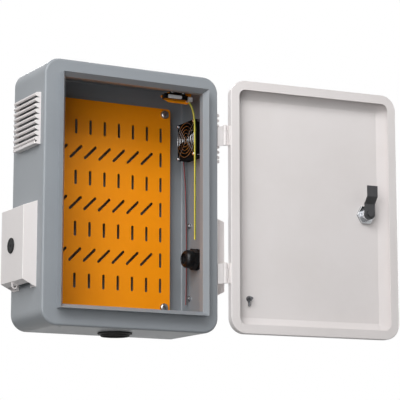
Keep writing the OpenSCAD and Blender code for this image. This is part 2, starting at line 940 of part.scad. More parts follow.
module fan_guard() {
    reach = fan_hole_span / 2 * sqrt(2) - eye_wire_r;
    ring_step = (fan_bore_d / 2 - 1) / guard_rings;
    color(chrome)
        translate([guard_x, fan_y, fan_z]) {
            for (i = [1:guard_rings])
                translate([-guard_wire * 0.7, 0, 0])
                    ring_x(i * ring_step, guard_wire, 64);
            for (a = [45, 135])
                rotate([a, 0, 0])
                    translate([0, 0, -reach])
                        cylinder(d = guard_wire, h = 2 * reach, $fn = 16);
            for (y = [-1, 1], z = [-1, 1])
                translate([0, y * fan_hole_span / 2, z * fan_hole_span / 2])
                    ring_x(eye_wire_r, guard_wire, 24);
        }
}

module fan_screws() {
    color(bright_zinc)
        fan_hole_places()
            translate([fan_face - guard_wire, 0, 0])
                mirror([1, 0, 0])
                    pan_screw(2 * eye_wire_r + 1, fan_screw_d, fan_d + guard_wire + sheet);
}

// Door switch on an orange bracket that hangs from the roof
switch_y = front_y + switch_front;
bracket_t = 1.5;
bracket_y = switch_y + 6;
switch_h = 11;
switch_d = 14;
switch_screw_d = 3;
switch_screw_xs = [switch_x + 22, switch_x + switch_l - 4];
switch_screw_z = switch_z + 7;
strip_t = 3;
pivot_x = switch_x + 35.5;
lever_h = 7.5;
lever_z = switch_z - 6;
lever_t = 2.5;
lever_gap = 0.3;
lever_pin_d = 3;
terminal_x = switch_x + switch_l + 3.5;
terminal_w = 11;
terminal_h = 10;
terminal_top = switch_z - 1.5;

module switch_screw_places() {
    for (x = switch_screw_xs)
        translate([x, 0, switch_screw_z])
            children();
}

module switch_bracket() {
    left = switch_x + 18;
    right = terminal_x + terminal_w + 2.5;
    color(orange)
        difference() {
            union() {
                // hanging plate with a tapered tongue at its free end
                translate([0, bracket_y + bracket_t, 0])
                    upright(bracket_t)
                        polygon([[left, inner_top], [left, switch_z + 8], [switch_x - 4, switch_z - 4],
                                 [switch_x + 2, switch_z - 9], [left - 2, switch_z - 15.5],
                                 [right - 10, switch_z - 15.5], [right, switch_z - 11], [right, inner_top]]);
                translate([left, bracket_y, inner_top - bracket_t])
                    cube([right - left, 16, bracket_t]);
            }
            switch_screw_places()
                translate([0, bracket_y + bracket_t + 1, 0])
                    upright(bracket_t + 2)
                        circle(d = switch_screw_d + 2 * fit_gap, $fn = 24);
        }
}

module switch_body() {
    color(black)
        difference() {
            union() {
                translate([switch_x, bracket_y, switch_z - switch_h / 2])
                    upright(switch_d)
                        translate([switch_l / 2, 0])
                            rounded_rect(switch_l, switch_h, 1.5);
                // fixing strip above the housing
                translate([switch_screw_xs[0] - 5, bracket_y - strip_t, switch_z - 2])
                    cube([switch_screw_xs[1] - switch_screw_xs[0] + 10, strip_t, 13]);
            }
            // hole for the lever's pin
            translate([pivot_x, bracket_y - 1.5, lever_z])
                upright(switch_d)
                    circle(d = lever_pin_d + 2 * pin_gap, $fn = 32);
            switch_screw_places()
                translate([0, bracket_y + 1, 0])
                    upright(strip_t + 2)
                        circle(d = switch_screw_d + 2 * fit_gap, $fn = 24);
        }
}

module switch_lever() {
    front = bracket_y - switch_d - lever_gap;
    color(chrome)
        translate([pivot_x, front, lever_z]) {
            upright(lever_t)
                union() {
                    circle(d = lever_h);
                    translate([-lever_l, -lever_h / 2])
                        square([lever_l, lever_h]);
                }
            translate([0, switch_d - 2, 0])
                upright(switch_d - 2 + eps)
                    circle(d = lever_pin_d, $fn = 32);
        }
}

module switch_screw() {
    color(chrome)
        switch_screw_places()
            translate([0, bracket_y - strip_t, 0])
                rotate([0, 0, -90])
                    pan_screw(7, switch_screw_d, strip_t + bracket_t + 2);
}

module earth_terminal() {
    color(bright_zinc)
        difference() {
            translate([terminal_x, bracket_y - terminal_w, terminal_top - terminal_h])
                cube([terminal_w, terminal_w, terminal_h]);
            translate([terminal_x + terminal_w / 2, bracket_y - terminal_w + 2.5, terminal_top - terminal_h / 2])
                upright(4)
                    circle(d = 4.5, $fn = 24);
        }
}

// Free leads: a tube swept along points that are chosen by hand
function unit(v) = v / norm(v);
function tangent(p, i) = unit(p[min(i + 1, len(p) - 1)] - p[max(i - 1, 0)]);
function smooth_point(a, b, c, d, t) =
    0.5 * ((2 * b) + (c - a) * t + (2 * a - 5 * b + 4 * c - d) * t * t + (3 * b - a - 3 * c + d) * t * t * t);
function smooth_path(p, n) =
    [for (i = [0:len(p) - 2], k = [0:n - 1])
        smooth_point(p[max(i - 1, 0)], p[i], p[i + 1], p[min(i + 2, len(p) - 1)], k / n),
     p[len(p) - 1]];

module tube(path, w, t, wide) {
    // an oval tube of eight sides, w wide along the direction given and t thick
    sides = 8;
    rings = [for (i = [0:len(path) - 1])
        let (n = tangent(path, i),
             u = unit(wide - (wide * n) * n),
             v = cross(n, u))
        [for (k = [0:sides - 1])
            path[i] + u * w / 2 * cos(k * 360 / sides) + v * t / 2 * sin(k * 360 / sides)]];
    points = [for (r = rings, q = r) q];
    last = (len(path) - 1) * sides;
    walls = [for (i = [0:len(path) - 2], k = [0:sides - 1])
        [i * sides + k, i * sides + (k + 1) % sides, (i + 1) * sides + (k + 1) % sides, (i + 1) * sides + k]];
    caps = [[for (k = [sides - 1:-1:0]) k], [for (k = [0:sides - 1]) last + k]];
    polyhedron(points, concat(caps, walls), convexity = 4);
}

terminal_mid = terminal_x + terminal_w / 2;
wire_top = terminal_top - terminal_h;
wire_x = collar_w / 2;
// height of the stretch in which the earth wire bends towards the wall, and how its points share it
wire_bend = 58;
wire_bend_points = [[0, 0], [0.06, 0.04], [0.36, 0.14], [0.68, 0.34], [0.84, 0.53], [0.95, 0.76]];
wire_straight = (earth_wire_drop - wire_bend) / 8;
earth_wire_points = concat(
    [for (p = wire_bend_points) [terminal_mid + (wire_x - terminal_mid) * p[0], switch_y, wire_top - wire_bend * p[1]]],
    [for (i = [0:8]) [wire_x - 0.3 + min(i, 4) / 8, switch_y, wire_top - wire_bend - i * wire_straight]]);
lead_x = inner_x - fan_d / 2;
lead_y = fan_y + fan_w / 2 - 5;
lead_top = fan_z - fan_w / 2;
lead_wall_x = inner_x - 5.7;
// the fan's lead does the same from its frame to the wall
lead_bend = 55;
lead_bend_points = [[0, 0], [0.03, 0.13], [0.18, 0.35], [0.38, 0.65]];
lead_straight = (fan_lead_drop - lead_bend) / 10;
fan_lead_points = concat(
    [for (p = lead_bend_points) [lead_x + (lead_wall_x - lead_x) * p[0], lead_y, lead_top - lead_bend * p[1]]],
    [for (i = [0:10]) [lead_wall_x - 2.6 * pow(1 - min(i, 6) / 6, 2) - 0.6 * pow(max(i - 7, 0) / 2, 2),
                       lead_y, lead_top - lead_bend - i * lead_straight]]);

module earth_wire() {
    color([0.72, 0.69, 0.22])
        tube(smooth_path(earth_wire_points, 2), earth_wire_d, earth_wire_d, [0, 1, 0]);
}

module fan_lead() {
    color([0.45, 0.12, 0.12])
        tube(smooth_path(fan_lead_points, 2), fan_lead_w, fan_lead_w / 2, [0, 1, 0]);
}

// Hinges: the body leaf holds the middle knuckle and the pin, the door leaf the two end knuckles
axis_x = side_x + axis_out;
axis_y = front_y - axis_fwd;
middle_h = hinge_h / 2;
knuckle_gap = 0.3;
door_side_y = front_y - door_gap;

// Turns the closed door and what it carries to its open place
module opened() {
    translate([axis_x, axis_y, 0])
        rotate([0, 0, door_open])
            translate([-axis_x, -axis_y, 0])
                children();
}

module leaf_bar(a, b, t) {
    n = [-(b - a)[1], (b - a)[0]] / norm(b - a) * t / 2;
    polygon([a + n, b + n, b - n, a - n]);
}

module body_leaf(z) {
    foot = [side_x + leaf_t / 2, front_y + 2];
    towards_foot = unit(foot - [axis_x, axis_y]);
    knee = [axis_x, axis_y] + towards_foot * (knuckle_d + pin_d) / 4;
    stop = [axis_x, axis_y] + towards_foot * (knuckle_d / 2 + 0.6);
    color(cream)
        difference() {
            union() {
                translate([side_x, front_y + 1.5, z - hinge_h / 2])
                    cube([leaf_t, leaf_l, hinge_h]);
                translate([0, 0, z - hinge_h / 2])
                    linear_extrude(hinge_h)
                        leaf_bar(foot, stop, leaf_t);
                translate([0, 0, z - middle_h / 2 + knuckle_gap])
                    linear_extrude(middle_h - 2 * knuckle_gap) {
                        leaf_bar(foot, knee, leaf_t);
                        translate([axis_x, axis_y])
                            circle(d = knuckle_d);
                    }
            }
            translate([axis_x, axis_y, z - hinge_h])
                cylinder(d = pin_d, h = 2 * hinge_h);
            for (s = [-1, 1])
                translate([0, hinge_screw_y, z + s * hinge_screw_span / 2])
                    rod_x(hinge_screw_d + 2 * fit_gap, side_x - 1, side_x + leaf_t + 1, 24);
        }
}

module door_leaf(z) {
    wing_y = door_side_y - door_side_d + 1;
    wing_l = door_side_d - 4.5;
    end_h = (hinge_h - middle_h) / 2;
    color(cream)
        opened()
            difference() {
                union() {
                    translate([side_x, wing_y, z - hinge_h / 2])
                        cube([leaf_t, wing_l, hinge_h]);
                    for (s = [-1, 1])
                        translate([0, 0, z + s * (middle_h + end_h) / 2 - end_h / 2])
                            linear_extrude(end_h) {
                                translate([side_x, axis_y - leaf_t / 2])
                                    square([axis_out - pin_d / 2 - 1, leaf_t]);
                                translate([axis_x, axis_y])
                                    circle(d = knuckle_d);
                            }
                }
                translate([axis_x, axis_y, z - hinge_h])
                    cylinder(d = pin_d + 2 * pin_gap, h = 2 * hinge_h);
            }
}

module hinge_pin(z) {
    color(cream)
        translate([axis_x, axis_y, z - hinge_h / 2]) {
            cylinder(d = pin_d, h = hinge_h);
            translate([0, 0, hinge_h + 0.3])
                cylinder(d = pin_d + 3, h = 1.2);
            cylinder(d = pin_d, h = hinge_h + 1);
        }
}

module upper_hinge_body_leaf() {
    body_leaf(hinge_up_z);
}

module lower_hinge_body_leaf() {
    body_leaf(-hinge_low_z);
}

module upper_hinge_door_leaf() {
    door_leaf(hinge_up_z);
}

module lower_hinge_door_leaf() {
    door_leaf(-hinge_low_z);
}

module upper_hinge_pin() {
    hinge_pin(hinge_up_z);
}

module lower_hinge_pin() {
    hinge_pin(-hinge_low_z);
}

module hinge_screws() {
    color(bright_zinc)
        hinge_screw_places()
            translate([side_x + leaf_t, 0, 0])
                pan_screw(9, hinge_screw_d, leaf_t + sheet + 3);
}

// Door: a pan with a return lip, side walls and a sloped border up to its flat front
door_x = side_x - door_w / 2;
door_skin_y = door_side_y - door_d + door_sheet;
earth_x = side_x - stud_in;

// Section of the side wall and lip, v forwards from the lip's plane
function door_section(t) =
    let (r = corner_r)
    [[r - lip_w, 0], [r - 1, 0], [r, 1], [r, door_side_d - t], [r - t, door_side_d - t],
     [r - t, t], [r - lip_w, t]];

module door_skin(inset, depth, from) {
    // solid of the sloped front, from the side walls to the flat
    hull() {
        translate([0, -from, 0])
            upright(door_side_d - from)
                rounded_rect(door_w - 2 * inset, door_h - 2 * inset, corner_r - inset);
        upright(depth)
            rounded_rect(door_w - 2 * border_w, door_h - 2 * border_w, 2);
    }
}

module door_panel() {
    color(cream)
        opened()
            difference() {
                translate([door_x, door_side_y, -door_drop]) {
                    swept_frame(door_w, door_h, corner_r, door_section(door_sheet));
                    difference() {
                        door_skin(0, door_d, door_side_d - door_sheet);
                        translate([0, 0.5, 0])
                            door_skin(door_sheet, door_d - door_sheet + 0.5, 0);
                    }
                }
                translate([lock_x, door_skin_y + 5, lock_level])
                    rotate([90, 0, 0])
                        cylinder(d = barrel_d + 2 * fit_gap, h = 20);
            }
}

// Lock in the door, drawn with the door closed
module at_lock() {
    opened()
        translate([lock_x, 0, lock_level])
            children();
}

// Solid of revolution along -Y, from the plane y0, l long
module rod_y(d, y0, l, fn = 48) {
    translate([0, y0, 0])
        rotate([90, 0, 0])
            cylinder(d = d, h = l, $fn = fn);
}

core_d = 18;
face_y = door_skin_y - door_sheet;
barrel_l = barrel_end_y - face_y;
rosette_t = 3;

module lock_housing() {
    color(chrome)
        at_lock()
            difference() {
                union() {
                    rod_y(barrel_d, barrel_end_y, barrel_l + eps);
                    rod_y(barrel_d + 8, face_y, rosette_t);
                }
                rod_y(core_d + 2 * pin_gap, barrel_end_y + 1, barrel_l + rosette_t + 2);
            }
}

lock_nut_t = 6;

module lock_nut() {
    color(chrome)
        at_lock()
            translate([0, door_skin_y + lock_nut_t, 0])
                rotate([90, 0, 0])
                    difference() {
                        cylinder(d = lock_nut_w / cos(30), h = lock_nut_t, $fn = 6);
                        translate([0, 0, -1])
                            cylinder(d = barrel_d, h = lock_nut_t + 2);
                    }
}

cam_screw_d = 8;

module lock_core() {
    color(chrome)
        at_lock()
            difference() {
                rod_y(core_d, cam_seat_y, cam_seat_y - face_y + rosette_t);
                // key recess with a double-bit pin left standing
                difference() {
                    rod_y(core_d - 6, face_y - rosette_t + 7, 8, 32);
                    rod_y(5, face_y - rosette_t + 8, 10, 24);
                    translate([-4.5, face_y - rosette_t - 2, -1])
                        cube([9, 10, 2]);
                }
                rod_y(cam_screw_d, cam_seat_y + 1, 13, 32);
            }
}

module lock_cam() {
    crank_from = cam_l * 0.38;
    crank_to = cam_l * 0.62;
    slope = cam_crank / (crank_to - crank_from);
    shift = cam_t * (sqrt(1 + slope * slope) - 1) / slope;
    root = -cam_w / 2;
    color(black)
        at_lock()
            difference() {
                intersection() {
                    // cranked strip seen from the side: height, then distance towards the cabinet
                    translate([-cam_w / 2, cam_seat_y, 0])
                        rotate([90, 0, 90])
                            linear_extrude(cam_w)
                                polygon([[0, root], [cam_t, root], [cam_t, crank_from - shift],
                                         [cam_t + cam_crank, crank_to - shift], [cam_t + cam_crank, cam_l],
                                         [cam_crank, cam_l], [cam_crank, crank_to], [0, crank_from]]);
                    translate([0, cam_seat_y + cam_crank + cam_t + 1, 0])
                        upright(cam_crank + cam_t + 2)
                            union() {
                                circle(d = cam_w);
                                translate([-cam_w / 2, 0])
                                    square([cam_w, cam_l]);
                            }
                }
                rod_y(cam_screw_d + 2 * fit_gap, cam_seat_y + cam_t + 1, cam_t + 2, 32);
            }
}

module cam_screw() {
    head_h = 5;
    color(black)
        at_lock()
            union() {
                rod_y(cam_screw_d, cam_seat_y + cam_t + eps, cam_t + 12, 32);
                translate([0, cam_seat_y + cam_t + head_h, 0])
                    rotate([90, 0, 0])
                        cylinder(d = 13 / cos(30), h = head_h, $fn = 6);
            }
}

// Earth stud on the door's inner face, with a crimped lug under its nut
stud_len = 16;
lug_t = 2;
lug_d = 12;
earth_nut_t = 5;
crimp_d = 5;

module at_stud() {
    opened()
        translate([earth_x, door_skin_y, -stud_low - door_drop])
            children();
}

module door_earth_stud() {
    color(bright_zinc)
        at_stud()
            rod_y(earth_d, stud_len, stud_len, 32);
}

module door_earth_nut() {
    color(chrome)
        at_stud()
            difference() {
                translate([0, lug_t + earth_nut_t, 0])
                    rotate([90, 0, 0])
                        cylinder(d = 10 / cos(30), h = earth_nut_t, $fn = 6);
                rod_y(earth_d, lug_t + earth_nut_t + 1, earth_nut_t + 2, 32);
            }
}

module door_earth_lug() {
    color(bright_zinc)
        at_stud()
            difference() {
                union() {
                    rod_y(lug_d, lug_t, lug_t, 32);
                    translate([-crimp_d / 2, 0, -lug_d / 2 - 2])
                        cube([crimp_d, lug_t, 5]);
                    translate([0, crimp_d / 2, -lug_d / 2 - 9])
                        cylinder(d = crimp_d, h = 8, $fn = 24);
                }
                rod_y(earth_d, lug_t + 1, lug_t + 2, 32);
                translate([0, crimp_d / 2, -lug_d / 2 - 10])
                    cylinder(d = crimp_d - 2, h = 7, $fn = 24);
            }
}

cabinet_shell();
rain_collar();
lock_keeper();
mounting_plate();
plate_studs();
plate_screws();
left_louvre();
right_louvre();
left_hood();
right_hood();
hood_bolts();
hood_nuts();
left_hood_plug();
right_hood_plug();
left_gland_body();
left_gland_cap();
left_gland_seal();
left_gland_locknut();
right_gland_body();
right_gland_cap();
right_gland_seal();
right_gland_locknut();
floor_grommet();
fan_frame();
fan_rotor();
fan_guard();
fan_screws();
fan_lead();
switch_bracket();
switch_body();
switch_lever();
switch_screw();
earth_terminal();
earth_wire();
upper_hinge_body_leaf();
lower_hinge_body_leaf();
upper_hinge_door_leaf();
lower_hinge_door_leaf();
upper_hinge_pin();
lower_hinge_pin();
hinge_screws();
door_panel();
lock_housing();
lock_nut();
lock_core();
lock_cam();
cam_screw();
door_earth_stud();
door_earth_nut();
door_earth_lug();
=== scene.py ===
# %% [markdown]
# # A wall-mounted equipment cabinet with its door open
# The imported CAD model is the frame that everything is built on. It is loaded first.

# %% Load the frame
import json
import math

import bmesh
import bpy
from mathutils import Matrix, Vector

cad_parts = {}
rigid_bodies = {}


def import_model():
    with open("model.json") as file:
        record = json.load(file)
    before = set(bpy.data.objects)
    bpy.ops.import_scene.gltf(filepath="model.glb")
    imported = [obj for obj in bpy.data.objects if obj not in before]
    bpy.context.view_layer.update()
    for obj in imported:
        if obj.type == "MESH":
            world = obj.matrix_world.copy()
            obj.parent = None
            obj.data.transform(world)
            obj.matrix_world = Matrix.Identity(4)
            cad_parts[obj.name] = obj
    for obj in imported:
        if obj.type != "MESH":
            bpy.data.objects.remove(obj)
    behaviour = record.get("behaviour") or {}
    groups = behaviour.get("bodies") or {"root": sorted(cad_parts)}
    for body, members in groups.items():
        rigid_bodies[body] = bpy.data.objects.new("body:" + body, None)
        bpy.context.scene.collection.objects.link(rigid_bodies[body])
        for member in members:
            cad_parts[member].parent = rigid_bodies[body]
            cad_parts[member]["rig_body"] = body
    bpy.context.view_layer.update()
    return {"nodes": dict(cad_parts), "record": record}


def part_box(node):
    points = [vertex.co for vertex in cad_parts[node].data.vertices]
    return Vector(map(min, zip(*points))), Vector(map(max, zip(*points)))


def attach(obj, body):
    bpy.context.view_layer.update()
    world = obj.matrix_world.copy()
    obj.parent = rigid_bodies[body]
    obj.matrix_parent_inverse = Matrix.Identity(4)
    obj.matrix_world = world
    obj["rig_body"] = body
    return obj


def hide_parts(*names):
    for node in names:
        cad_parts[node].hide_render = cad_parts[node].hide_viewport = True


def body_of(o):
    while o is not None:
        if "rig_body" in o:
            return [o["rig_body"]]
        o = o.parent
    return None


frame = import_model()
nodes = frame["nodes"]

# %% [markdown]
# ## The camera
# The photograph was taken from below and to the left with a long lens. Its place and aim were solved
# from the cabinet's straight edges, so the camera is written down as a point, a direction and a lens.

# %% Camera
CAMERA_AT = Vector((-1.56693, -3.30877, -0.62247))
AIM_RIGHT, AIM_UP = 0.50071, 0.17348  # radians to the right of +Y, and above the horizon
LENS_MM = 156.909

aim = Vector((math.sin(AIM_RIGHT) * math.cos(AIM_UP),
              math.cos(AIM_RIGHT) * math.cos(AIM_UP),
              math.sin(AIM_UP)))
camera = bpy.data.objects.new("camera", bpy.data.cameras.new("camera"))
camera.data.lens = LENS_MM
camera.data.sensor_width = 36
camera.location = CAMERA_AT
camera.rotation_mode = "QUATERNION"
camera.rotation_quaternion = aim.to_track_quat("-Z", "Y")
camera.data.clip_start, camera.data.clip_end = 0.1, 50
bpy.context.scene.collection.objects.link(camera)
bpy.context.scene.camera = camera
bpy.context.scene.view_settings.view_transform = "Standard"
print("camera looks along", [round(v, 3) for v in aim])

# %% [markdown]
# ## Colours and small helpers
# Colours are read off the object as it looks on a screen, so a helper turns them into the linear
# values that a shader wants. Another puts a new mesh object into the scene with its materials.

# %% Colour and object helpers
def screen(code):
    """Linear RGBA of a colour written as it looks on a screen, such as 9C9FA2."""
    parts = [int(code[i:i + 2], 16) / 255 for i in (0, 2, 4)]
    return tuple(c / 12.92 if c <= 0.04045 else ((c + 0.055) / 1.055) ** 2.4 for c in parts) + (1.0,)


def new_object(name, mesh, *materials):
    """Object in the scene that carries the mesh and its materials."""
    piece = bpy.data.objects.new(name, mesh)
    for material in materials:
        mesh.materials.append(material)
    bpy.context.scene.collection.objects.link(piece)
    return piece


def shade_smooth(mesh, angle):
    """Smooth shading that stays sharp where faces turn by more than the angle, in degrees."""
    mesh.shade_smooth()
    mesh.set_sharp_from_angle(angle=math.radians(angle))


# %% [markdown]
# ## Effects that several finishes share
# Powder coat has a fine orange-peel skin, and a used cabinet carries faint stains and dust. A third group
# paints a highlight along the rounded folds. Each effect is a node group that is built once and placed in a
# material with its own values. A group only puts out masks, colours and normals: the shader itself stays in
# the material.

# %% Effect groups
def group_sockets(tree, direction, sockets):
    """Named inputs or outputs of a node group, with their kind and the value they start with."""
    for label, kind, value in sockets:
        socket = tree.interface.new_socket(label, in_out=direction, socket_type="NodeSocket" + kind)
        if value is not None:
            socket.default_value = value


def effect_group(name, inputs, outputs):
    """Shader group, and the nodes that its inputs and outputs pass through."""
    tree = bpy.data.node_groups.new(name, "ShaderNodeTree")
    group_sockets(tree, "INPUT", inputs)
    group_sockets(tree, "OUTPUT", outputs)
    return tree, tree.nodes.new("NodeGroupInput"), tree.nodes.new("NodeGroupOutput")


def make_skin_group():
    """Fine waviness of a sprayed or moulded skin, as a normal."""
    tree, into, out = effect_group("fine_skin", (("Size", "Float", 900.0), ("Depth", "Float", 0.1)),
                                   (("Normal", "Vector", None),))
    add, link = tree.nodes.new, tree.links.new
    place = add("ShaderNodeTexCoord")
    grain = add("ShaderNodeTexNoise")
    grain.inputs["Detail"].default_value = 3
    bump = add("ShaderNodeBump")
    bump.inputs["Distance"].default_value = 0.0003
    link(place.outputs["Object"], grain.inputs["Vector"])
    link(into.outputs["Size"], grain.inputs["Scale"])
    link(grain.outputs["Fac"], bump.inputs["Height"])
    link(into.outputs["Depth"], bump.inputs["Strength"])
    link(bump.outputs["Normal"], out.inputs["Normal"])
    return tree


def make_stain_group():
    """Clean colour to stained colour in soft patches, with finer specks, and a roughness that follows."""
    tree, into, out = effect_group("soft_stains", (
        ("Clean", "Color", None), ("Stained", "Color", None), ("Size", "Float", 6.0),
        ("Amount", "Float", 0.3), ("Smooth Finish", "Float", 0.35), ("Rough Finish", "Float", 0.5)),
        (("Color", "Color", None), ("Roughness", "Float", None)))
    add, link = tree.nodes.new, tree.links.new
    place = add("ShaderNodeTexCoord")
    broad = add("ShaderNodeTexNoise")
    broad.inputs["Detail"].default_value = 5
    broad.inputs["Roughness"].default_value = 0.6
    spread = add("ShaderNodeMapRange")
    spread.inputs["From Min"].default_value = 0.42
    spread.inputs["From Max"].default_value = 0.72
    share = add("ShaderNodeMath")
    share.operation = "MULTIPLY"
    paint = add("ShaderNodeMix")
    paint.data_type = "RGBA"
    finish = add("ShaderNodeMapRange")
    link(place.outputs["Object"], broad.inputs["Vector"])
    link(into.outputs["Size"], broad.inputs["Scale"])
    link(broad.outputs["Fac"], spread.inputs["Value"])
    link(spread.outputs["Result"], share.inputs[0])
    link(into.outputs["Amount"], share.inputs[1])
    link(share.outputs["Value"], paint.inputs["Factor"])
    link(into.outputs["Clean"], paint.inputs["A"])
    link(into.outputs["Stained"], paint.inputs["B"])
    link(paint.outputs["Result"], out.inputs["Color"])
    link(broad.outputs["Fac"], finish.inputs["Value"])
    link(into.outputs["Smooth Finish"], finish.inputs["To Min"])
    link(into.outputs["Rough Finish"], finish.inputs["To Max"])
    link(finish.outputs["Result"], out.inputs["Roughness"])
    return tree


def make_fold_highlight_group():
    """Painted highlight: the marked bands round the folds take a lighter colour, broken up by noise, that
    stands in for the light a rounded fold catches.
    """
    tree, into, out = effect_group("painted_fold_highlight", (
        ("Color", "Color", None), ("Highlight Color", "Color", None), ("Amount", "Float", 0.5)),
        (("Color", "Color", None),))
    add, link = tree.nodes.new, tree.links.new
    band = add("ShaderNodeAttribute")
    band.attribute_name = "edge"
    place = add("ShaderNodeTexCoord")
    highlight_breakup = add("ShaderNodeTexNoise")
    highlight_breakup.inputs["Scale"].default_value = 45
    highlight_breakup.inputs["Detail"].default_value = 4
    uneven = add("ShaderNodeMapRange")
    uneven.inputs["From Min"].default_value = 0.3
    uneven.inputs["From Max"].default_value = 0.6
    uneven.inputs["To Min"].default_value = 0.6
    highlight_mask = add("ShaderNodeMath")
    share = add("ShaderNodeMath")
    highlight_mask.operation = share.operation = "MULTIPLY"
    paint = add("ShaderNodeMix")
    paint.data_type = "RGBA"
    link(place.outputs["Object"], highlight_breakup.inputs["Vector"])
    link(highlight_breakup.outputs["Fac"], uneven.inputs["Value"])
    link(band.outputs["Fac"], highlight_mask.inputs[0])
    link(uneven.outputs["Result"], highlight_mask.inputs[1])
    link(highlight_mask.outputs["Value"], share.inputs[0])
    link(into.outputs["Amount"], share.inputs[1])
    link(share.outputs["Value"], paint.inputs["Factor"])
    link(into.outputs["Color"], paint.inputs["A"])
    link(into.outputs["Highlight Color"], paint.inputs["B"])
    link(paint.outputs["Result"], out.inputs["Color"])
    return tree


SKIN = make_skin_group()
STAINS = make_stain_group()
FOLD_HIGHLIGHT = make_fold_highlight_group()
print("effect groups:", SKIN.name, STAINS.name, FOLD_HIGHLIGHT.name)

# %% [markdown]
# ## The finishes
# One function builds every coated, moulded or plated finish from these effects. What differs is the
# colour pair, how strong the skin is, and whether light meets paint, rubber or metal below it. Finishes
# with marked edges take a painted highlight there: a lighter colour on the rounded bands, standing in for
# the light that the folds catch.

# %% Finishes
def placed_group(tree, group, values):
    """An effect group set into a material with its own values."""
    node = tree.nodes.new("ShaderNodeGroup")
    node.node_tree = group
    for label, value in values.items():
        node.inputs[label].default_value = value
    return node


def finish(name, clean, stained, smooth, rough, size=6.0, amount=0.3, skin_size=900.0, skin_depth=0.1,
           metallic=0.0, specular=0.5, coat=0.0, edge=None, fold_highlight_amount=0.5):
    """Material from a clean and a stained colour, with a roughness that runs from smooth to rough."""
    material = bpy.data.materials.new(name)
    material.use_nodes = True
    tree = material.node_tree
    shader = tree.nodes["Principled BSDF"]
    for label, value in (("Metallic", metallic), ("Specular IOR Level", specular), ("Coat Weight", coat)):
        shader.inputs[label].default_value = value
    stains = placed_group(tree, STAINS, {
        "Clean": screen(clean), "Stained": screen(stained), "Size": size, "Amount": amount,
        "Smooth Finish": smooth, "Rough Finish": rough})
    skin = placed_group(tree, SKIN, {"Size": skin_size, "Depth": skin_depth})
    colour = stains.outputs["Color"]
    # Painted highlight: the marked bands take the lighter edge colour.
    if edge:
        folds = placed_group(tree, FOLD_HIGHLIGHT, {"Highlight Color": screen(edge), "Amount": fold_highlight_amount})
        tree.links.new(colour, folds.inputs["Color"])
        colour = folds.outputs["Color"]
    tree.links.new(colour, shader.inputs["Base Color"])
    tree.links.new(stains.outputs["Roughness"], shader.inputs["Roughness"])
    tree.links.new(skin.outputs["Normal"], shader.inputs["Normal"])
    return material


# Each edge colour here is a painted highlight on the rounded bands, lighter than the coat itself.
slate_paint = finish("slate_powder_coat", "8B9095", "7C8085", 0.28, 0.42, amount=0.3, edge="B4BABF",
                     fold_highlight_amount=0.55)
cream_paint = finish("cream_powder_coat", "E1DCDB", "D6D0CD", 0.3, 0.46, amount=0.4, edge="FFFBF9",
                     fold_highlight_amount=0.9)
orange_paint = finish("orange_powder_coat", "FF9A0D", "F08C0A", 0.35, 0.5, size=9, amount=0.5, specular=0.2,
                      edge="FFB23C", fold_highlight_amount=0.35)
zinc = finish("zinc_plating", "B8B9BC", "93949A", 0.25, 0.45, size=60, amount=0.6, skin_size=1500,
              metallic=1.0)
bright_chrome = finish("bright_plating", "D6D6DA", "B4B5BA", 0.1, 0.22, size=80, amount=0.4,
                       skin_depth=0.03, metallic=1.0)
black_rubber = finish("black_rubber", "161617", "232324", 0.5, 0.7, size=40, amount=0.6, skin_size=2500,
                      skin_depth=0.3, specular=0.25)
black_nylon = finish("black_nylon", "0F0F10", "19191B", 0.3, 0.45, size=40, amount=0.5, skin_size=2500,
                     skin_depth=0.15, specular=0.3)
black_plastic = finish("black_fan_plastic", "0B0B0C", "141416", 0.5, 0.65, size=50, amount=0.5,
                       skin_size=2200, skin_depth=0.25, specular=0.08)
satin_plate = finish("satin_plating", "BBBCBF", "A1A2A6", 0.26, 0.38, size=80, amount=0.4, skin_depth=0.05,
                     metallic=1.0)
black_gloss = finish("black_switch_housing", "0F0F10", "1A1A1C", 0.06, 0.14, size=60, amount=0.4,
                     skin_depth=0.02, coat=0.5)
silver_satin = finish("silver_satin", "E4E4E6", "CFCFD2", 0.35, 0.5, size=80, amount=0.4, metallic=0.35)
black_steel = finish("black_passivated_steel", "414143", "4C4C4E", 0.45, 0.6, size=60, amount=0.6,
                     metallic=0.1, specular=0.3)
# Chrome of the lock, darker than the other plating: painted shade for the dim lower facets of the nut, with
# real stains in it, and a painted highlight on its edges.
lock_chrome = finish("shaded_lock_chrome", "A9ABAD", "8B8D90", 0.2, 0.3, size=80, amount=0.5, skin_depth=0.03,
                     metallic=1.0, edge="E8E8EA", fold_highlight_amount=0.7)
guard_plate = finish("guard_plating", "B4B5B8", "96979B", 0.14, 0.26, size=80, amount=0.4, skin_depth=0.03,
                     metallic=1.0)
# Dark zinc of the earth fittings; its edge colour is a painted highlight.
dark_zinc = finish("dark_zinc", "66676A", "4E4F52", 0.25, 0.4, size=90, amount=0.6, metallic=1.0,
                   edge="B5B5B8", fold_highlight_amount=0.4)

FINISH_OF_SLOT = dict(
    slate_paint=slate_paint, cream_paint=cream_paint, orange_paint=orange_paint, zinc=zinc,
    bright_chrome=bright_chrome, black_rubber=black_rubber, black_nylon=black_nylon,
    black_plastic=black_plastic, black_gloss=black_gloss, black_steel=black_steel)
for part in frame["record"]["subparts"]:
    material = FINISH_OF_SLOT.get(part["material_slot"])
    if material and part["node"] in nodes:
        mesh = nodes[part["node"]].data
        mesh.materials.clear()
        mesh.materials.append(material)

